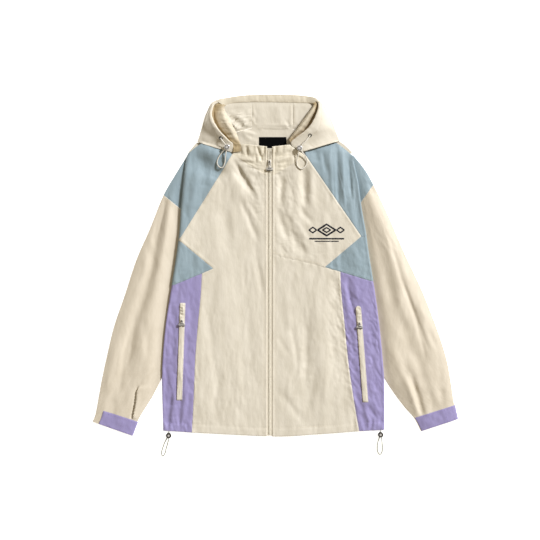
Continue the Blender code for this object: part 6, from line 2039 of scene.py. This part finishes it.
def hem_trim(side_name, lock):
    barrel = cord_lock("hem_lock_" + side_name, lock, 0.0)
    middle = LOCK_HEIGHT / 2
    hem = float(hem_y(lock.x))
    end = lock.y + LOCK_RADIUS + 0.3
    route = [(lock.x, hem - SEAM - 0.1, 2.6), (lock.x, (hem + end) / 2, 2.8), (lock.x, end, 3.2)]
    route += cord_loop(HEM_LOOPS[side_name], lock, middle, (1.0, 0.5, 0.1), lambda x, y: 0.15)
    # the hem cord's darker colour is painted shade
    drawcord("hem_drawcord_" + side_name, route, ["hem_cord_" + side_name, "hem_loop_" + side_name],
             hem_cord_painted_shade)


# ---------------------------------------------------------------- label and chest embroidery

def dress_label():
    """A plain woven label sewn at the back of the neck."""
    half, bottom = LABEL_WIDTH / 2, LABEL_TOP - LABEL_HEIGHT
    x, y = np.meshgrid(np.linspace(LABEL_X - half, LABEL_X + half, 60), np.linspace(bottom, LABEL_TOP, 26))
    from_edge = np.minimum(half - np.abs(x - LABEL_X), np.minimum(LABEL_TOP - y, y - bottom))
    z = WALL + 0.95 + 0.2 * np.sin(x / 11) - 0.5 * np.clip(1 - from_edge / 1.2, 0, 1) ** 2
    outer = np.stack([x, y, z], axis=-1)
    inner = np.stack([x, y, np.full(x.shape, WALL + 0.35)], axis=-1)
    flat = np.stack([x, y], axis=-1)
    piece = shell("plain_neck_label", outer, inner, flat, label_satin)
    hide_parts("neck_label")
    run = dense([(LABEL_X - half + 1.5, LABEL_TOP - 1.6), (LABEL_X + half - 1.5, LABEL_TOP - 1.6)])
    line = np.concatenate([run, np.full((len(run), 1), WALL + 1.1)], axis=1)
    sewn("label_stitches", [flat_run(line)], navy_thread)


SATIN_PITCH = 0.62     # from one satin thread to the next
SATIN_SLANT = 0.25     # how far the threads lean along their stroke
SATIN_THREAD = 0.36


def satin(lift, line, half_width):
    """Starts, ends and normals of satin threads laid side by side across a line."""
    line = np.array(line, float)
    steps = np.concatenate([[0], np.cumsum(np.hypot(*np.diff(line, axis=0).T))])
    count = max(2, int(steps[-1] / SATIN_PITCH))
    at = np.linspace(0, steps[-1], count)
    middle = np.stack([np.interp(at, steps, line[:, k]) for k in range(2)], axis=1)
    run = np.stack([np.interp(at, steps, np.gradient(line[:, k], steps)) for k in range(2)], axis=1)
    run /= np.linalg.norm(run, axis=1)[:, None]
    across = (np.stack([-run[:, 1], run[:, 0]], axis=1) + SATIN_SLANT * run) * half_width
    starts, normals = on_cloth(lift, middle - across, 0.1)
    ends, _ = on_cloth(lift, middle + across, 0.1)
    return starts, ends, normals


def chest_embroidery():
    """A plain geometric motif in satin stitch: three open diamonds over two bars."""
    lift = panels["right_front_upper"]
    centre = np.array([121.5, 76.9])
    strokes = []
    for x, wide, high, half_width in ((0, 21, 13.5, 2.6), (0, 9.5, 5.6, 2.0), (-32.5, 9.0, 6.6, 2.0),
                                      (32.5, 9.0, 6.6, 2.0)):
        corners = [(x - wide, 7), (x, 7 + high), (x + wide, 7), (x, 7 - high), (x - wide, 7)]
        strokes += [(start, end, half_width) for start, end in zip(corners[:-1], corners[1:])]
    strokes += [((-41, -13.5), (41, -13.5), 2.3), ((-28, -19.6), (28, -19.6), 1.5)]
    threads = []
    for start, end, half_width in strokes:
        starts, ends, normals = satin(lift, dense([start, end], 0.6) + centre, half_width)
        threads.append(bars(starts, ends, normals, SATIN_THREAD, 0.25))
    piece_of_parts("chest_embroidery", threads, navy_thread)


# ---------------------------------------------------------------- setting

def pale_floor():
    bpy.ops.object.select_all(action="DESELECT")
    bpy.ops.mesh.primitive_plane_add(size=9, location=(0, 0, -0.0004))
    floor = bpy.context.object
    floor.name = "studio_floor"
    made, tree, shader = new_finish("pale_paper")
    mottle = add_node(tree, "ShaderNodeTexNoise", Scale=6.0, Detail=3.0)
    tree.links.new(mapped(tree, "Object", (1, 1, 1)), mottle.inputs["Vector"])
    colour = ramp_between(tree, mottle.outputs["Fac"], (0.925, 0.925, 0.925), (0.94, 0.94, 0.94))
    tree.links.new(colour, shader.inputs["Base Color"])
    shader.inputs["Roughness"].default_value = 0.85
    shader.inputs["Specular IOR Level"].default_value = 0.1
    shader.inputs["Emission Color"].default_value = (1, 1, 1, 1)
    shader.inputs["Emission Strength"].default_value = 0.8
    floor.data.materials.append(made)


def soft_sun(name, azimuth, elevation, softness, strength, colour):
    """A distant soft light from an azimuth (degrees from +X towards +Y) and elevation."""
    light = bpy.data.lights.new(name, "SUN")
    light.angle = math.radians(softness)
    light.energy = strength
    light.color = colour
    lamp = bpy.data.objects.new(name, light)
    bpy.context.scene.collection.objects.link(lamp)
    azimuth, elevation = math.radians(azimuth), math.radians(elevation)
    lamp.location = (2 * math.cos(azimuth), 2 * math.sin(azimuth), 2.5)
    lamp.rotation_euler = (0, math.pi / 2 - elevation, azimuth)


CAMERA_PLACE = (-0.0120, -0.0104, 3.549)
AIR_COLOUR = (1.0, 0.87, 0.66, 1)
AIR_STRENGTH = 0.34


def studio():
    scene = bpy.context.scene
    camera_data = bpy.data.cameras.new("overhead_camera")
    camera_data.lens = 100
    camera = bpy.data.objects.new("overhead_camera", camera_data)
    scene.collection.objects.link(camera)
    camera.location = CAMERA_PLACE
    scene.camera = camera
    pale_floor()
    soft_sun("key_light", 38, 37, 10, 4.2, (0.975, 0.985, 1.01))
    world = bpy.data.worlds.new("studio_air")
    scene.world = world
    world.use_nodes = True
    air = world.node_tree.nodes["Background"]
    air.inputs["Color"].default_value = AIR_COLOUR
    air.inputs["Strength"].default_value = AIR_STRENGTH
    scene.view_settings.view_transform = "Standard"


def dress_jacket():
    studio()
    hood_trim(-1, "left", LEFT_EYELET, LEFT_LOCK)
    hood_trim(1, "right", RIGHT_EYELET, RIGHT_LOCK)
    hem_trim("left", HEM_LEFT_LOCK)
    hem_trim("right", HEM_RIGHT_LOCK)
    dress_back()
    dress_front_left()
    dress_front_right()
    dress_collars()
    for side, side_name in ((-1, "left"), (1, "right")):
        dress_yoke(side, side_name)
        dress_wedge(side, side_name)
        dress_side_panel(side, side_name)
        dress_sleeve(side, side_name, cream_runs)
        dress_cuff_tab(side, side_name, lilac_runs)
    hem_stitching()
    dress_hood_sides()
    dress_hood_centre()
    dress_facings()
    dress_label()
    dress_front_zip()
    dress_pocket_zips()
    dress_sliders()
    chest_embroidery()
    sewn("cream_topstitching", cream_runs, cream_thread)
    sewn("blue_topstitching", blue_runs, blue_thread)
    sewn("lilac_topstitching", lilac_runs, lilac_thread)


dress_jacket()
